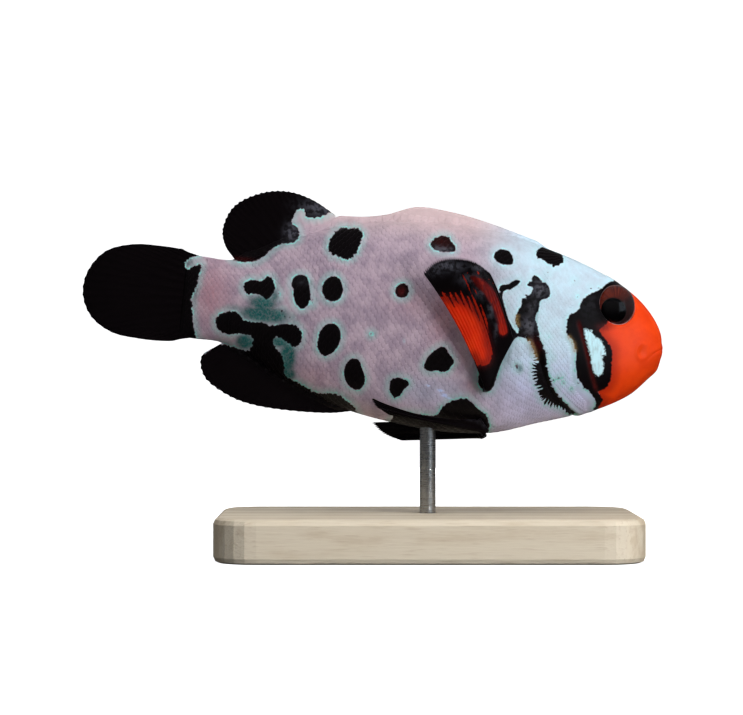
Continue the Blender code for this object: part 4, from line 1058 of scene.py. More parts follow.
joined = {key: np.concatenate(value) for key, value in joined.items()}
skin_layers = {key: joined[key] for key in skin_fields}
skin_layers["plate"] = np.tile((0.5, 0.0, 0.5), (offset, 1))
skin = mesh_object("skin", in_place(joined["points"]), joined["faces"], joined["corners"], skin_layers)
print("skin:", len(skin.data.vertices), "points,", len(skin.data.polygons), "faces")

# %% [markdown]
# ## The coat of scales
# A clownfish has small comb scales in slanting rows, each covering the root of the next like roof tiles.
# They could be a bump in the finish, but then the outline and the light along the flank would stay
# smooth. Here each one is its own thin plate: the front end sits in the skin, the rounded rear edge
# stands free. The rows follow the length of the body and the plates shrink toward the tail and the face,
# as they do on the animal.

# %% One scale
SCALE_PITCH, ROW_SPACING = 1.05, 0.62
SCALE_LENGTH, SCALE_HALF_WIDTH, SCALE_THICK = 1.7, 0.78, 0.03
PLATE_RUN = np.array([0.0, 0.3, 0.55, 0.78, 0.93, 1.0])
PLATE_RISE = np.array([-0.08, 0.002, 0.036, 0.055, 0.062, 0.052])
PLATE_ACROSS = np.linspace(-1.0, 1.0, 7)
ROOT_SHARE, ROOT_NARROWING, REAR_ROUNDING, PLATE_CROWN = 0.3, 0.35, 0.30, 0.038


def plate_template():
    """Local places of one scale: run toward the tail, place across, and height; with its faces."""
    run, across = np.meshgrid(PLATE_RUN, PLATE_ACROSS, indexing="ij")
    narrowing = 1 - ROOT_NARROWING * np.clip(ROOT_SHARE - run, 0, ROOT_SHARE) / ROOT_SHARE
    reach = run * (1 - REAR_ROUNDING * np.abs(across) ** 2.2)
    height = PLATE_RISE[:, None] - PLATE_CROWN * across**2
    top = np.stack([reach, across * narrowing, height], axis=2).reshape(-1, 3)
    number = np.arange(run.size).reshape(run.shape)
    rim = np.concatenate([number[0, :-1], number[:-1, -1], number[-1, :0:-1], number[:0:-1, 0]])
    bottom = top[rim] - (0, 0, SCALE_THICK)
    centre = bottom.mean(0, keepdims=True)
    points = np.concatenate([top, bottom, centre])
    a, b, c, d = number[:-1, :-1], number[1:, :-1], number[1:, 1:], number[:-1, 1:]
    faces = [np.stack([a, b, c], 2).reshape(-1, 3), np.stack([a, c, d], 2).reshape(-1, 3)]
    k = np.arange(len(rim))
    after = (k + 1) % len(rim)
    low = run.size
    faces += [np.stack([rim[k], rim[after], low + after], 1), np.stack([rim[k], low + after, low + k], 1)]
    faces += [np.stack([low + k, low + after, np.full(len(rim), low + len(rim))], 1)]
    return points, np.concatenate(faces)


plate_points, plate_faces = plate_template()
print("one scale:", len(plate_points), "points,", len(plate_faces), "triangles")

# %% Set the scales in rows
SCALE_SEED, STRIDE, JITTER, MOST_IN_ROW = 23, 0.05, 0.045, 40
SIZE_ALONG = (-27.0, -20.0, -8.0, 12.0, 20.0, 25.0, 29.0, 36.0)
SIZE_SHARE = (0.68, 0.76, 0.92, 0.92, 0.78, 0.56, 0.5, 0.42)  # size of a scale at those places
FIN_SHARE_BARE, COAT_STARTS, EYE_CLEAR = 0.72, 0.45, 1.35
COAT_PIECES = {"rear": (-30.0, -9.0), "middle": (-9.0, 8.0), "shoulder": (8.0, 18.5), "front": (18.5, 40.0)}


def on_hide(values, row, column):
    """Value of a grid of the body between its rows and columns; columns run round the ring."""
    total = 2 * HALF_COLUMNS
    row = np.clip(row, 0, values.shape[0] - 1.001)
    r, c = np.floor(row).astype(int), np.floor(column).astype(int)
    fr, fc = (row - r)[..., None], (column - c)[..., None]
    left, right = c % total, (c + 1) % total
    near = values[r, left] * (1 - fc) + values[r, right] * fc
    far = values[r + 1, left] * (1 - fc) + values[r + 1, right] * fc
    return near * (1 - fr) + far * fr


def hide_column(across, line):
    """Row and column from the keel for a place on the hide."""
    row = np.interp(across, HIDE_ACROSS, np.arange(len(rows)))
    length = np.interp(row, np.arange(len(rows)), girth)
    level = np.interp(row, np.arange(len(rows)), LEVEL_COLUMN)
    return row, level + line / length * HALF_COLUMNS


def scale_roots(random):
    """Place across the hide, height over its widest line, and size for each scale's root on one side."""
    along = np.interp(np.arange(0, HIDE_ACROSS[-1], STRIDE), HIDE_ACROSS, rows[:, 0])
    share = np.interp(along, SIZE_ALONG, SIZE_SHARE)
    count = np.cumsum(STRIDE / (SCALE_PITCH * share))
    found = []
    for number, step in enumerate(np.arange(0.5, 2 * math.floor(count[-1]), 1.0) / 2):
        across = np.interp(step, count, np.arange(len(count)) * STRIDE)
        row = np.interp(across, HIDE_ACROSS, np.arange(len(rows)))
        size = np.interp(np.interp(row, np.arange(len(rows)), rows[:, 0]), SIZE_ALONG, SIZE_SHARE)
        line = (np.arange(-MOST_IN_ROW, MOST_IN_ROW + 1) * 2 + number % 2) * ROW_SPACING * size
        _, column = hide_column(across, line)
        line = line[(column > 1.0) & (column < HALF_COLUMNS - 1.0)]
        found.append(np.column_stack([np.full(len(line), across), line, np.full(len(line), size)]))
    found = np.concatenate(found)
    found[:, :2] += random.uniform(-JITTER, JITTER, (len(found), 2)) * found[:, 2:]
    return found


def kept_roots(roots, side):
    """Which roots stay: none on bare skin, by the gill cover's edge, by the eye or high on the spiny fin."""
    row, column = hide_column(roots[:, 0], roots[:, 1])
    ring = column if side < 0 else 2 * HALF_COLUMNS - column
    place = on_hide(body_grid, row, ring)
    drawn = on_drawing(place)
    keep = coat_share(drawn) > COAT_STARTS
    gill, run = along_line(drawn, GILL_EDGE, 60)
    by_gill = (gill > -0.25) & (gill < 1.25) & (run > 0.03) & (run < 0.97)
    radius, _ = eye_radius(place, side)
    fin_top = np.interp(row, np.arange(len(rows)), rows[:, 1])
    body_top = np.interp(place[:, 0], [s[0] for s in BODY_STATIONS], [s[1] for s in BODY_STATIONS])
    bare_fin = place[:, 2] > body_top + FIN_SHARE_BARE * np.maximum(fin_top - body_top, 0.8)
    return keep & ~by_gill & ~((radius < EYE_CLEAR) & (drawn[:, 0] > 27)) & ~bare_fin


random = np.random.default_rng(SCALE_SEED)
side_roots = {}
for side in (-1, 1):
    roots = scale_roots(random)
    side_roots[side] = roots[kept_roots(roots, side)]
print("scales on the right and left:", len(side_roots[-1]), len(side_roots[1]))

# %% Build the coat
PATCH_ACROSS = 0.003  # size of one scale's patch on the map, as a share of the map


def coat_mesh(name, roots, side, random):
    """One piece of the coat: a joined mesh of plates that lie on the skin's own shape."""
    count, each = len(roots), len(plate_points)
    size = roots[:, 2:]
    swell = random.uniform(0.97, 1.04, (count, 1))
    tone = random.uniform(0.0, 1.0, (count, 1))
    yaw = random.uniform(-0.05, 0.05, (count, 1))
    run, across = plate_points[:, 0] * SCALE_LENGTH, plate_points[:, 1] * SCALE_HALF_WIDTH
    along = roots[:, :1] - (run - yaw * across) * size * swell
    line = roots[:, 1:2] + (across + yaw * run) * size * swell
    row, column = hide_column(along, line)
    ring = column if side < 0 else 2 * HALF_COLUMNS - column
    height = plate_points[:, 2] * (0.35 + 0.65 * size)
    base = on_hide(host_grid, row, ring)
    points = base + on_hide(host_normal, row, ring) * height[..., None]
    faces = plate_faces if side < 0 else plate_faces[:, ::-1]
    faces = (faces[None] + np.arange(count)[:, None, None] * each).reshape(-1, 3)
    flat = base.reshape(-1, 3)
    layers = body_fields(flat, on_drawing(flat))
    plate = np.stack(np.broadcast_arrays(plate_points[:, 0], plate_points[:, 1] * 0.5 + 0.5, tone), axis=2)
    layers["plate"] = plate.reshape(-1, 3)
    island = places["flank_right" if side < 0 else "flank_left"]
    patch = np.column_stack([0.5 - plate_points[:, 0], 0.5 * plate_points[:, 1]]) * PATCH_ACROSS
    home = np.stack([roots[:, 0], roots[:, 1] - HIDE_UP.min()], axis=1) + island
    corners = (home[:, None] / ATLAS_SIZE + patch[None]).reshape(-1, 2)[faces]
    return mesh_object(name, in_place(points.reshape(-1, 3)), faces, corners, layers)


coat = []
for side, word in ((-1, "right"), (1, "left")):
    roots = side_roots[side]
    root_along = np.interp(roots[:, 0], HIDE_ACROSS, rows[:, 0])
    for zone, (low, high) in COAT_PIECES.items():
        mine = roots[(root_along >= low) & (root_along < high)]
        coat.append(coat_mesh(f"coat_{zone}_{word}", mine, side, random))
print("coat pieces:", {piece.name: len(piece.data.polygons) for piece in coat})

# %% [markdown]
# ## The eyes
# A fish's eye is a wide shallow ball under a clear dome. Behind the dome lies a ring of brown iris, and
# the round pupil is a deep dark opening, larger than in most land animals. A painted dot would look flat
# from the side, so the iris is set back as a real surface, the pupil is a real well, and the dome is a
# clear solid over both.

# %% Eyeballs and domes
EYE_SEGMENTS = 128
PUPIL_OFFSET, PUPIL_RADIUS = (-0.40, -0.76), 1.74
PUPIL_FLOOR, IRIS_INNER, IRIS_OUTER = -0.35, 0.42, 0.50
IRIS_SHARE, IRIS_SWELL, LIMBUS_SHARE = 0.925, 0.02, 0.95
DOME_THICK, DOME_BULGE, DOME_RINGS, BACK_RINGS = 0.06, 0.08, 36, 26
EYE_CLOCK = np.arange(EYE_SEGMENTS) / EYE_SEGMENTS * 2 * math.pi
EYE_CIRCLE = np.stack([np.cos(EYE_CLOCK), np.sin(EYE_CLOCK)], axis=1)
EYE_RIM = EYE_CIRCLE * (EYE_WIDE, EYE_TALL)
BEHIND_IRIS = 2.0  # marks the back of the eyeball for its finish


def dome_height(share):
    return EYE_DEEP * np.sqrt(np.clip(1 - share**2, 0, 1))


def eyeball_rings():
    """Rings from the pupil's floor to the pale rim: share toward the rim, pupil share, height outward."""
    rings = [(0.0, s, PUPIL_FLOOR) for s in (0.02, 0.4, 0.8, 0.97)]
    rings += [(0.0, 1.0, h) for h in (-0.2, 0.1, 0.3)] + [(0.01, 1.0, IRIS_INNER)]
    for step in np.linspace(0.05, 1.0, 14):
        swell = IRIS_SWELL * math.sin(step * math.pi)
        rings.append((step, 1.0, IRIS_INNER + (IRIS_OUTER - IRIS_INNER) * step + swell))
    climb = dome_height(LIMBUS_SHARE) - IRIS_OUTER
    rings += [(1.0 + 0.5 * t, 1.0, IRIS_OUTER + t * climb) for t in (0.5, 1.0)]
    return rings


def eye_ring(flat, height):
    """One ring of points in the eye's own directions."""
    return np.column_stack([flat, np.full(EYE_SEGMENTS, height)])


def eye_surface(name, side, rings, kind=None):
    """A closed mesh from rings, with its places as the field look; also gives its faces."""
    centre, axes = eye_frame(side)
    local = np.array(rings).reshape(-1, 3)
    points = local @ axes.T + centre
    faces = grid_faces(len(rings), EYE_SEGMENTS)
    if not faces_out(points, faces):
        faces = faces[:, ::-1]
    share = local[:, :2] / (EYE_WIDE, EYE_TALL)
    corners = (0.5 + 0.45 * share[faces]).reshape(-1, 2)
    look = local if kind is None else np.column_stack([local[:, :2], kind])
    return mesh_object(name, in_place(points), faces, corners, {"look": look}), faces


def eye_mesh(name, side):
    """One opaque eyeball with its iris set back and its pupil sunk, and which of its faces are the pupil."""
    rings, kind = [], []
    for step, pupil_share, height in eyeball_rings():
        inner = np.array(PUPIL_OFFSET) + EYE_CIRCLE * PUPIL_RADIUS * pupil_share
        outer_share = IRIS_SHARE + (LIMBUS_SHARE - IRIS_SHARE) * max(step - 1.0, 0) * 2
        rings.append(eye_ring(inner + (EYE_RIM * outer_share - inner) * min(step, 1.0), height))
        kind.append(np.full(EYE_SEGMENTS, step))
    for angle in np.linspace(math.asin(LIMBUS_SHARE), math.pi - 0.03, BACK_RINGS)[1:]:
        rings.append(eye_ring(EYE_RIM * math.sin(angle), EYE_DEEP * math.cos(angle)))
        kind.append(np.full(EYE_SEGMENTS, BEHIND_IRIS))
    kind = np.concatenate(kind)
    obj, faces = eye_surface(name, side, rings, kind)
    return obj, (kind[faces].max(axis=1) < 0.005).astype(np.int32)


def dome_mesh(name, side):
    """The clear shell over the iris."""
    shares = np.linspace(0.01, LIMBUS_SHARE, DOME_RINGS)
    top = [(s, dome_height(s) + DOME_BULGE * (1 - (s / LIMBUS_SHARE) ** 2)) for s in shares]
    under = [(s * (1 - DOME_THICK / EYE_WIDE), h - DOME_THICK) for s, h in top[::-1]]
    return eye_surface(name, side, [eye_ring(EYE_RIM * s, h) for s, h in top + under])[0]


eyes_made = [eye_mesh("eyeball_right", -1), eye_mesh("eyeball_left", 1)]
eyeballs, in_pupil = [made[0] for made in eyes_made], [made[1] for made in eyes_made]
domes = [dome_mesh("eye_dome_right", -1), dome_mesh("eye_dome_left", 1)]
print("eye pieces:", [piece.name for piece in eyeballs + domes])

# %% [markdown]
# ## Finishes
# All colour comes from nodes that read the named fields: there is no picture behind it. The marks' edges
# are cut in the shader from their distance, so they stay crisp at any size, and fine noise along each
# edge gives it the small teeth of pigment cells. The same group paints skin and scales, which is why no
# seam shows between them. Short helpers keep the wiring readable.

# %% Helpers for finishes
def shade(red, green, blue):
    """A colour given in everyday values of 0 to 255, turned to the even scale of light."""
    parts = [(c, c / 255) for c in (red, green, blue)]
    return tuple(((v + 0.055) / 1.055) ** 2.4 if c > 10 else v / 12.92 for c, v in parts) + (1.0,)


class Wiring:
    """Short calls that add nodes to one tree and join them."""

    def __init__(self, tree):
        self.tree = tree

    def add(self, kind, **settings):
        node = self.tree.nodes.new("ShaderNode" + kind)
        for key, value in settings.items():
            setattr(node, key, value)
        return node

    def plug(self, socket, value):
        if isinstance(value, bpy.types.NodeSocket):
            self.tree.links.new(value, socket)
        else:
            socket.default_value = value

    def math(self, operation, first, second=0.0):
        node = self.add("Math", operation=operation)
        self.plug(node.inputs[0], first)
        self.plug(node.inputs[1], second)
        return node.outputs[0]

    def plus(self, first, second):
        return self.math("ADD", first, second)

    def minus(self, first, second):
        return self.math("SUBTRACT", first, second)

    def times(self, first, second):
        return self.math("MULTIPLY", first, second)

    def ease(self, value, low, high, start=0.0, end=1.0):
        """A smooth climb from start to end while value goes from low to high."""
        node = self.add("MapRange", interpolation_type="SMOOTHSTEP")
        for socket, number in zip(node.inputs, (value, low, high, start, end)):
            self.plug(socket, number)
        return node.outputs[0]

    def blend(self, share, first, second):
        node = self.add("Mix", data_type="RGBA")
        self.plug(node.inputs[0], share)
        self.plug(node.inputs[6], first)
        self.plug(node.inputs[7], second)
        return node.outputs[2]

    def noise(self, place, scale, detail=3.0, rough=0.5, stretch=None):
        if stretch is not None:
            mapping = self.add("Mapping")
            self.plug(mapping.inputs["Vector"], place)
            mapping.inputs["Scale"].default_value = stretch
            place = mapping.outputs[0]
        node = self.add("TexNoise")
        self.plug(node.inputs["Vector"], place)
        node.inputs["Scale"].default_value = scale
        node.inputs["Detail"].default_value = detail
        node.inputs["Roughness"].default_value = rough
        return node.outputs[0]

    def noise_along(self, run, scale, detail=2.0):
        node = self.add("TexNoise", noise_dimensions="1D")
        self.plug(node.inputs["W"], run)
        node.inputs["Scale"].default_value = scale
        node.inputs["Detail"].default_value = detail
        return node.outputs[0]

    def split(self, vector):
        node = self.add("SeparateXYZ")
        self.plug(node.inputs[0], vector)
        return node.outputs

    def place(self):
        """Place on the object in millimetres."""
        scale = self.add("VectorMath", operation="SCALE")
        self.plug(scale.inputs[0], self.add("TexCoord").outputs["Object"])
        scale.inputs["Scale"].default_value = 1.0 / MM
        return scale.outputs[0]

    def field(self, name):
        return self.add("Attribute", attribute_name=name).outputs["Vector"]


def new_group(name, inputs, outputs):
    """An empty node group with named vector, float or colour sockets, and its wiring."""
    tree = bpy.data.node_groups.new(name, "ShaderNodeTree")
    for socket, kind in inputs.items():
        tree.interface.new_socket(name=socket, in_out="INPUT", socket_type="NodeSocket" + kind)
    for socket, kind in outputs.items():
        tree.interface.new_socket(name=socket, in_out="OUTPUT", socket_type="NodeSocket" + kind)
    start, end = tree.nodes.new("NodeGroupInput"), tree.nodes.new("NodeGroupOutput")
    return tree, Wiring(tree), start.outputs, end.inputs


def only_node(tree, kind):
    """The one node of a kind that a fresh tree comes with."""
    return next(node for node in tree.nodes if node.type == kind)


def new_material(name):
    """A material with only a Principled shader, and its wiring."""
    material = bpy.data.materials.new(name)
    material.use_nodes = True
    tree = material.node_tree
    return material, Wiring(tree), only_node(tree, "BSDF_PRINCIPLED")


def set_plain(shader, **values):
    """Constants on the shader's own sockets; underscores in the names stand for spaces."""
    for key, value in values.items():
        shader.inputs[key.replace("_", " ")].default_value = value


def bump(wiring, height, distance):
    node = wiring.add("Bump")
    wiring.plug(node.inputs["Height"], height)
    node.inputs["Distance"].default_value = distance
    return node.outputs[0]


print("helpers for finishes ready")

# %% Tones of the flesh and the face
FIELD_PARTS = {  # each named field of the skin and the three numbers that it holds
    "marks": ("dark", "run", "teeth"),
    "tints": ("warm", "pearl", "peach"),
    "hues": ("teal", "rose", "amber"),
    "deeps": ("wine", "sheen", "patch"),
    "plate": ("plate_run", "plate_across", "tone"),
}
FLESH_LIGHT, FLESH_DEEP, SATIN_TONE = shade(190, 168, 182), shade(158, 140, 156), shade(206, 184, 196)
PEACH_TONE, ROSE_TONE, TEAL_TONE = shade(240, 212, 208), shade(190, 126, 134), shade(14, 88, 84)
PEARL_TONE, LAVENDER_TONE = shade(206, 232, 246), shade(198, 208, 246)
ORANGE_TONE, ORANGE_DEEP, ORANGE_DARK = shade(248, 72, 14), shade(232, 58, 14), shade(172, 36, 14)
FIN_ORANGE_TONE = shade(224, 44, 14)


def read_fields(w, given):
    """The fields of the skin, the noises that several steps share, and the place, each by its own name."""
    place = given["place"]
    f = SimpleNamespace(place=place)
    for field, parts in FIELD_PARTS.items():
        vars(f).update(zip(parts, w.split(given[field])))
    f.cloud = w.noise(place, 0.45, 4.0, 0.6)
    f.satin = w.noise(place, 3.4, 3.0, 0.65, (1.0, 1.0, 0.28))
    f.grain = w.noise(place, 9.0, 2.0, 0.6)
    f.bits = w.noise(place, 3.2, 3.0, 0.6)
    f.along, _, f.height = w.split(place)
    return f


def flesh_colour(w, f):
    """Mauve flesh that turns to peach, pearl, rose and teal where the fields say so."""
    flesh = w.blend(w.ease(f.cloud, 0.36, 0.64), FLESH_DEEP, FLESH_LIGHT)
    flesh = w.blend(w.ease(f.satin, 0.35, 0.7, 0.0, 0.28), flesh, SATIN_TONE)
    flesh = w.blend(w.times(f.peach, 0.65), flesh, PEACH_TONE)
    pale = w.blend(w.ease(f.height, 20.0, 31.0), LAVENDER_TONE, PEARL_TONE)
    flesh = w.blend(w.times(f.pearl, w.ease(f.cloud, 0.3, 0.7, 0.75, 1.0)), flesh, pale)
    flesh = w.blend(w.times(f.rose, w.ease(f.satin, 0.3, 0.7, 0.6, 1.0)), flesh, ROSE_TONE)
    mottle = w.ease(w.plus(w.times(f.bits, 0.5), w.times(f.grain, 0.5)), 0.40, 0.56)
    bloom = w.times(w.ease(f.teal, 0.0, 0.75), w.plus(0.78, w.times(mottle, 0.22)))
    return w.blend(bloom, flesh, TEAL_TONE)


def orange_over(w, f, colour, bright):
    """Orange over the flesh of the face and the fins, darker close to the black marks."""
    wander = w.times(w.minus(w.noise(f.place, 1.6, 3.0, 0.6), 0.5), 0.5)
    share = w.ease(w.plus(f.warm, wander), -0.22, 0.16, 1.0, 0.0)
    orange = w.blend(w.ease(f.cloud, 0.35, 0.7, 0.0, 0.6), bright, ORANGE_DEEP)
    orange = w.blend(w.ease(f.dark, 0.0, 1.8, 0.75, 0.0), orange, ORANGE_DARK)
    return w.blend(share, colour, orange)


print("numbers read from the fields:", sum(len(parts) for parts in FIELD_PARTS.values()))

# %% [markdown]
# ## Edges, rims and the group that joins them
# Pigment cells don't stop on a clean line. The distance to the nearest mark is pushed in and out by noise
# along the edge, and on the gill band it breaks into a comb of small teeth. A pale rim follows the black,
# and a few stains lie over it, some partly painted shade in hollows, with a painted grey sheen on the black.
# All of it goes into one group, so that skin, scales and fins can't drift apart.

# %% Marks and their rims
# Black, the grey of its painted sheen, and a dark red used for stains and for painted shade.
BLACK_TONE, PAINTED_SHEEN_TONE, WINE_AND_SHADE_TONE = shade(10, 6, 8), shade(92, 92, 102), shade(90, 20, 20)
AMBER_TONE, PATCH_TONE = shade(160, 130, 78), shade(207, 246, 255)
HALO_TONE, HALO_LOW_TONE, HALO_REAR_TONE = shade(196, 240, 248), shade(128, 200, 188), shade(150, 226, 218)


def ragged_edge(w, f):
    """Distance to the black marks, roughened by noise and by the teeth of the comb."""
    ragged = w.times(w.minus(w.noise_along(f.run, 2.4), 0.5), w.times(f.teeth, 2.2))
    comb = w.math("SINE", w.plus(w.times(f.run, 13.6), w.times(f.bits, 5.0)))
    ragged = w.plus(ragged, w.times(comb, w.ease(f.teeth, 0.36, 1.5, 0.0, 0.95)))
    ragged = w.plus(ragged, w.times(w.minus(f.bits, 0.5), 0.34))
    ragged = w.plus(ragged, w.times(w.minus(f.grain, 0.5), 0.16))
    return w.plus(f.dark, ragged)


def halo_over(w, f, colour, edge):
    """A thin pale rim beside the black and a faint wide glow, both weaker where the skin is teal."""
    drift = w.noise(f.place, 0.75, 2.0)
    rim = w.times(w.ease(edge, 0.0, 0.08), w.ease(edge, 0.12, 0.36, 1.0, 0.0))
    rim = w.times(rim, w.ease(drift, 0.4, 0.6, 0.15, 1.0))
    aura = w.times(w.ease(edge, 0.0, 0.1), w.ease(edge, 0.2, 1.2, 0.30, 0.0))
    halo = w.times(w.math("MAXIMUM", rim, aura), w.ease(f.teal, 0.1, 0.5, 1.0, 0.2))
    glow = w.blend(w.ease(f.along, -6.0, 16.0), HALO_REAR_TONE, HALO_TONE)
    glow = w.blend(w.ease(f.height, 24.0, 34.0), HALO_LOW_TONE, glow)
    return w.blend(halo, colour, glow)


def marks_over(w, f, colour, black_share):
    """Black with its painted grey sheen, then dark red that is partly painted shade, the amber stains and the
    pale patch of the cheek.
    """
    blots = w.noise(f.place, 1.5, 2.0, 0.55)
    # Where the painted sheen lies, the black is painted grey as a highlight.
    black = w.blend(w.times(f.sheen, w.ease(blots, 0.41, 0.57, 0.16, 0.8)), BLACK_TONE, PAINTED_SHEEN_TONE)
    colour = w.blend(black_share, colour, black)
    # Dark red, partly the skin's own and partly painted shade in hollows, under the eye and on the side fin's
    # turned face.
    colour = w.blend(w.times(f.wine, w.ease(f.satin, 0.3, 0.7, 0.45, 0.95)), colour, WINE_AND_SHADE_TONE)
    colour = w.blend(w.times(f.amber, w.ease(f.grain, 0.4, 0.6, 0.2, 0.9)), colour, AMBER_TONE)
    chipped = w.times(w.minus(w.plus(f.bits, f.grain), 1.0), 0.8)
    patch_share = w.ease(w.plus(f.patch, chipped), -0.12, 0.04, 1.0, 0.0)
    return w.blend(w.times(patch_share, w.ease(f.satin, 0.2, 0.6, 0.7, 1.0)), colour, PATCH_TONE)


def fish_colours():
    """Group: place, an orange and the named fields in; colour, roughness and relief out."""
    inputs = {"place": "Vector", "orange": "Color", **{field: "Vector" for field in FIELD_PARTS}}
    outputs = {"colour": "Color", "roughness": "Float", "relief": "Float"}
    tree, w, given, result = new_group("fish colours", inputs, outputs)
    f = read_fields(w, given)
    edge = ragged_edge(w, f)
    flesh = halo_over(w, f, flesh_colour(w, f), edge)
    black_share = w.ease(edge, -0.05, 0.06, 1.0, 0.0)
    colour = marks_over(w, f, orange_over(w, f, flesh, given["orange"]), black_share)
    value = w.add("HueSaturation")
    # Each scale is painted darker toward its root, a painted shade where it slips under the scale before it;
    # its brightness also varies a little at random.
    depth = w.times(w.ease(f.plate_run, 0.15, 0.55, 0.95, 1.0), w.ease(f.tone, 0.0, 1.0, 0.97, 1.02))
    w.plug(value.inputs["Value"], depth)
    w.plug(value.inputs["Color"], colour)
    w.plug(result["colour"], value.outputs[0])
    w.plug(result["roughness"], w.plus(w.times(black_share, -0.08), w.ease(f.grain, 0.3, 0.7, 0.40, 0.50)))
    ribs = w.math("SINE", w.times(f.plate_across, 44.0))
    w.plug(result["relief"], w.plus(w.times(ribs, 0.12), f.grain))
    return tree


FISH_COLOURS = fish_colours()


def skin_material(name, relief_depth, specular, orange):
    material, w, shader = new_material(name)
    group = w.add("Group", node_tree=FISH_COLOURS)
    group.inputs["orange"].default_value = orange
    w.plug(group.inputs["place"], w.place())
    for field in FIELD_PARTS:
        w.plug(group.inputs[field], w.field(field))
    w.plug(shader.inputs["Base Color"], group.outputs["colour"])
    w.plug(shader.inputs["Roughness"], group.outputs["roughness"])
    w.plug(shader.inputs["Normal"], bump(w, group.outputs["relief"], relief_depth))
    set_plain(shader, Specular_IOR_Level=specular)
    return material


fish_skin = skin_material("fish_skin", 0.00002, 0.14, ORANGE_TONE)
fish_scales = skin_material("fish_scales", 0.000015, 0.14, ORANGE_TONE)
fish_fins = skin_material("fish_fins", 0.00001, 0.05, FIN_ORANGE_TONE)
skin.data.materials.append(fish_skin)
skin.data.materials.append(fish_fins)
on_fin = np.arange(len(joined["faces"])) >= body_faces
skin.data.polygons.foreach_set("material_index", on_fin.astype(np.int32))
for piece in coat:
    piece.data.materials.append(fish_scales)
print("colours of the fish wired:", len(FISH_COLOURS.nodes), "nodes")

# %% Finish of the eyes
def iris_material():
    """Brown fibres round a black well, with a pale narrow ring outside."""
    material, w, shader = new_material("eye_ball")
    look = w.field("look")
    across, up, ring = w.split(look)
    clock = w.math("ARCTAN2", up, across)
    fibres = w.noise_along(clock, 9.0, 4.0)
    blotch = w.noise(look, 1.1, 3.0, 0.6)
    brown = w.blend(w.ease(fibres, 0.3, 0.7), shade(110, 26, 10), shade(156, 54, 24))
    # Painted shade: the iris is darkened toward its lower front.
    lower_front_shade = w.ease(w.minus(w.times(across, 0.7), up), -2.0, 0.6)
    brown = w.blend(w.times(lower_front_shade, 0.95), brown, shade(26, 14, 14))
    brown = w.blend(w.ease(blotch, 0.45, 0.7, 0.0, 0.4), brown, shade(60, 28, 26))
    inner_rim = w.ease(ring, 0.0, 0.12, 0.35, 1.0)
    colour = w.blend(w.minus(1.0, inner_rim), brown, shade(30, 12, 12))
    colour = w.blend(w.ease(ring, -0.001, 0.009, 1.0, 0.0), colour, shade(7, 4, 6))
    pale = w.blend(w.ease(w.noise(look, 3.0), 0.35, 0.65), shade(196, 150, 148), shade(228, 204, 206))
    colour = w.blend(w.ease(ring, 1.0, 1.12), colour, pale)
    colour = w.blend(w.ease(ring, 1.55, 1.95), colour, shade(120, 60, 44))
    w.plug(shader.inputs["Base Color"], colour)
    w.plug(shader.inputs["Roughness"], w.ease(blotch, 0.3, 0.7, 0.38, 0.52))
    w.plug(shader.inputs["Normal"], bump(w, fibres, 0.00004))
    set_plain(shader, Specular_IOR_Level=0.3)
    return material


def dome_material():
    """Clear tissue; shadows pass through it so that the iris is lit."""
    material, w, shader = new_material("eye_dome")
    film = w.noise(w.field("look"), 0.8, 2.0)
    w.plug(shader.inputs["Base Color"], w.blend(film, shade(250, 250, 252), shade(244, 248, 255)))
    w.plug(shader.inputs["Roughness"], w.ease(film, 0.4, 0.7, 0.0, 0.03))
    set_plain(shader, IOR=1.336, Transmission_Weight=1.0, Metallic=0.0)
    clear = w.add("BsdfTransparent")
    mixer = w.add("MixShader")
    output = only_node(material.node_tree, "OUTPUT_MATERIAL")
    w.plug(mixer.inputs[0], w.add("LightPath").outputs["Is Shadow Ray"])
    w.plug(mixer.inputs[1], shader.outputs[0])
    w.plug(mixer.inputs[2], clear.outputs[0])
    w.plug(output.inputs["Surface"], mixer.outputs[0])
    return material


def pupil_material():
    """The well of the pupil swallows nearly all light."""
    material, w, shader = new_material("eye_pupil")
    depth = w.noise(w.field("look"), 1.5, 2.0)
    w.plug(shader.inputs["Base Color"], w.blend(depth, shade(3, 2, 3), shade(7, 4, 6)))
    w.plug(shader.inputs["Roughness"], w.ease(depth, 0.3, 0.7, 0.7, 0.9))
    set_plain(shader, Specular_IOR_Level=0.0)
    return material


ball_finish, pupil_finish, dome_finish = iris_material(), pupil_material(), dome_material()
for piece, pupil in zip(eyeballs, in_pupil):
    piece.data.materials.append(ball_finish)
    piece.data.materials.append(pupil_finish)
    piece.data.polygons.foreach_set("material_index", pupil)
for piece in domes:
    piece.data.materials.append(dome_finish)
print("eye finishes ready")

# %% [markdown]
# ## The stand
# The fish is held by one thin steel rod on a pale wooden base, as in a museum case. The solids of the stand
# are already exact, so they stay as they are and only get a finish: satin maple with long grain, and
# steel with the fine rings that a lathe leaves.

# %% Finish of the stand
def wood_material():
    material, w, shader = new_material("maple")
    place = w.place()
    grain = w.noise(place, 0.35, 5.0, 0.6, (0.18, 2.4, 1.0))
    pores = w.noise(place, 3.0, 2.0, 0.5, (0.08, 2.0, 1.0))
    _, across, _ = w.split(place)
    wave = w.math("SINE", w.plus(w.times(across, 0.9), w.times(grain, 9.0)))
    colour = w.blend(w.ease(wave, -1.0, 1.0), shade(222, 204, 176), shade(238, 224, 200))
    colour = w.blend(w.ease(pores, 0.55, 0.75, 0.0, 0.35), colour, shade(196, 170, 136))
    w.plug(shader.inputs["Base Color"], colour)
    w.plug(shader.inputs["Roughness"], w.ease(grain, 0.3, 0.7, 0.38, 0.5))
    w.plug(shader.inputs["Normal"], bump(w, pores, 0.00005))
    set_plain(shader, Specular_IOR_Level=0.4)
    return material


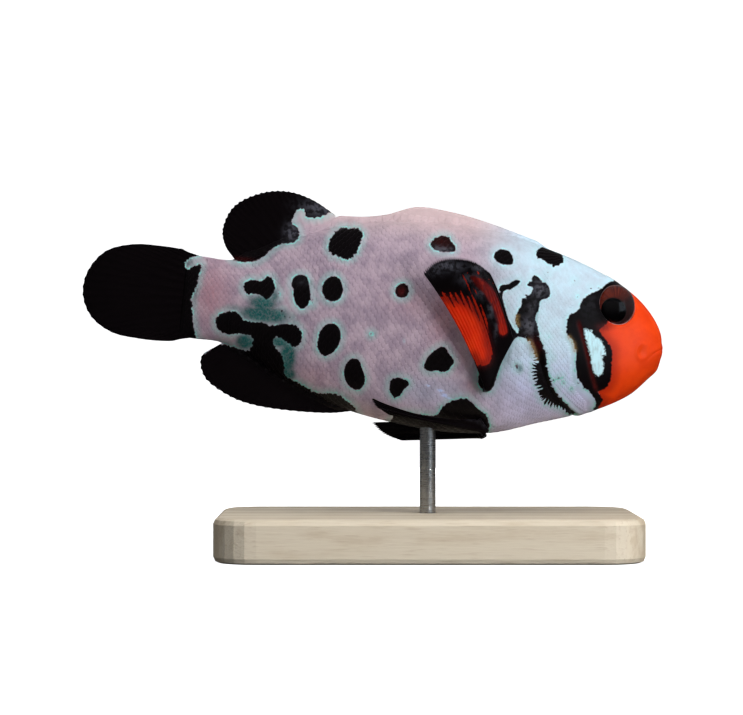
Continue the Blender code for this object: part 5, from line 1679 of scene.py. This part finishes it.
def steel_material():
    material, w, shader = new_material("brushed_steel")
    place = w.place()
    rings = w.noise(place, 1.0, 3.0, 0.6, (0.4, 0.4, 14.0))
    w.plug(shader.inputs["Base Color"], w.blend(rings, shade(178, 180, 182), shade(206, 207, 208)))
    w.plug(shader.inputs["Roughness"], w.ease(rings, 0.3, 0.7, 0.24, 0.36))
    w.plug(shader.inputs["Normal"], bump(w, rings, 0.00002))
    set_plain(shader, Metallic=1.0)
    return material


maple, steel = wood_material(), steel_material()
for name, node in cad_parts.items():
    if name.startswith("stand_"):
        finish = maple if "base" in name else steel
        if not node.data.materials:
            node.data.materials.append(finish)
        for number in range(len(node.data.materials)):
            node.data.materials[number] = finish
        print(name, "gets", finish.name)

# %% [markdown]
# ## What each piece stands for
# The skin replaces every solid of flesh, and each eyeball with its dome replaces one solid eye. All
# pieces ride on the one still body, for nothing on a mounted model moves.

EYE_NODES = {"right": "eye_right", "left": "eye_left"}
flesh = [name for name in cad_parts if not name.startswith(("stand_", "eye_"))]
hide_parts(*flesh)
for piece in eyeballs:
    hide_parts(EYE_NODES[piece.name.split("_")[-1]])
for piece in [skin, *coat, *eyeballs, *domes]:
    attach(piece, "root")
for piece in [*eyeballs, *domes]:
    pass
print("solids that the skin replaces:", len(flesh))

# %% [markdown]
# ## Light, floor and camera
# The model stands on a white sweep under soft studio light. Broad lamps hang above, to the front right and
# low in front, a weak one fills in from the left, and one behind lights the far side for anyone who walks
# round. A dim window and a small lamp give the eye and the damp skin their points of light. The sweep and
# three more sheets, beyond the model's other sides, are kept out of the bounced light, so the belly stays
# as dark as in open water.

# %% Floor and backdrop
SWEEP_WIDE, SWEEP_FRONT, SWEEP_BACK, SWEEP_RADIUS, SWEEP_HIGH = 2.4, -1.2, 0.75, 0.25, 1.3


def sheet_mesh(name, profile):
    """A wide sheet of paper whose side view is the profile, in metres."""
    points = [(x, y, z) for y, z in profile for x in (-SWEEP_WIDE / 2, SWEEP_WIDE / 2)]
    faces = [(2 * k, 2 * k + 1, 2 * k + 3, 2 * k + 2) for k in range(len(profile) - 1)]
    mesh = bpy.data.meshes.new(name)
    mesh.from_pydata(points, [], faces)
    mesh.shade_smooth()
    obj = bpy.data.objects.new(name, mesh)
    bpy.context.scene.collection.objects.link(obj)
    obj.visible_diffuse = obj.visible_glossy = obj.visible_transmission = False
    return obj


def paper_material():
    """White paper that glows a little, so that it stays white behind the model."""
    material, w, shader = new_material("white_sweep")
    paper = w.noise(w.place(), 0.6, 2.0)
    w.plug(shader.inputs["Base Color"], w.blend(paper, shade(244, 244, 244), shade(248, 248, 248)))
    w.plug(shader.inputs["Roughness"], w.ease(paper, 0.3, 0.7, 0.85, 0.95))
    set_plain(shader, Specular_IOR_Level=0.0, Emission_Color=(1.0, 1.0, 1.0, 1.0), Emission_Strength=0.95)
    return material


curve = [(SWEEP_BACK - SWEEP_RADIUS * (1 - math.sin(a)), SWEEP_RADIUS * (1 - math.cos(a)))
         for a in np.linspace(0, 0.5 * math.pi, 17)]
sweep = sheet_mesh("sweep", [(SWEEP_FRONT, 0.0)] + curve + [(SWEEP_BACK, SWEEP_HIGH)])
far_sheets = [sheet_mesh(f"far_sheet_{number}", [(-SWEEP_WIDE / 2, SWEEP_HIGH), (-SWEEP_WIDE / 2, 0.0)])
              for number in range(3)]
for sheet, quarter in zip(far_sheets, (0, 1, 3)):
    sheet.rotation_euler.z = 0.5 * math.pi * quarter
    sheet.visible_shadow = False
white = paper_material()
for sheet in [sweep, *far_sheets]:
    sheet.data.materials.append(white)
print("sheets of paper:", 1 + len(far_sheets))

# %% Lights and surroundings
FISH_MIDDLE = Vector((0.0, 0.0, FISH_HEIGHT * MM))
SKY_LOW, SKY_HIGH, SKY_STRENGTH = (0.06, 0.065, 0.075, 1.0), (0.85, 0.86, 0.88, 1.0), 0.16


def area_light(name, place, size, power, colour=(1.0, 1.0, 1.0), shiny=True):
    """A square light in millimetres from the fish's middle, turned toward it."""
    lamp = bpy.data.lights.new(name, "AREA")
    lamp.size, lamp.energy, lamp.color = size * MM, power, colour
    obj = bpy.data.objects.new(name, lamp)
    obj.location = FISH_MIDDLE + Vector(place) * MM
    obj.rotation_euler = (FISH_MIDDLE - obj.location).to_track_quat("-Z", "Y").to_euler()
    obj.visible_glossy = obj.visible_transmission = shiny
    obj.visible_camera = False
    bpy.context.scene.collection.objects.link(obj)


area_light("light_above", (20, -90, 350), 320, 0.80, shiny=False)
area_light("light_front_right", (270, -270, 140), 200, 0.62, shiny=False)
area_light("light_low_front", (280, -300, -40), 140, 0.60, (1.0, 0.98, 0.98), shiny=False)
area_light("light_window", (230, -250, 80), 210, 0.10, (0.75, 0.88, 1.0))
area_light("light_fill_left", (-260, -260, 40), 200, 0.12, (0.92, 0.96, 1.0), shiny=False)
area_light("light_behind", (-60, 300, 20), 260, 0.75, shiny=False)
area_light("light_small", (190, -295, 47), 8, 0.05)
world = bpy.data.worlds.new("surroundings")
bpy.context.scene.world = world
world.use_nodes = True
w = Wiring(world.node_tree)
height = w.split(w.add("TexCoord").outputs["Generated"])[2]
sky = w.blend(w.ease(height, -0.6, 0.7), SKY_LOW, SKY_HIGH)
background = only_node(world.node_tree, "BACKGROUND")
w.plug(background.inputs["Color"], sky)
background.inputs["Strength"].default_value = SKY_STRENGTH
print("lamps:", len(bpy.data.lights))

# %% Camera
CAMERA_PLACE = (-7.764, -397.92, 27.444)
CAMERA_LENS, CAMERA_SENSOR, NEAREST, FARTHEST = 139.53, 36.0, 0.02, 5.0
camera = bpy.data.cameras.new("camera")
camera.sensor_width, camera.lens = CAMERA_SENSOR, CAMERA_LENS
camera.clip_start, camera.clip_end = NEAREST, FARTHEST
eye_of_viewer = bpy.data.objects.new("camera", camera)
eye_of_viewer.location = [c * MM for c in CAMERA_PLACE]
eye_of_viewer.rotation_euler = (math.pi / 2, 0.0, 0.0)
bpy.context.scene.collection.objects.link(eye_of_viewer)
bpy.context.scene.camera = eye_of_viewer
bpy.context.scene.view_settings.view_transform = "Standard"
print("camera at", CAMERA_PLACE, "mm with a lens of", CAMERA_LENS, "mm")
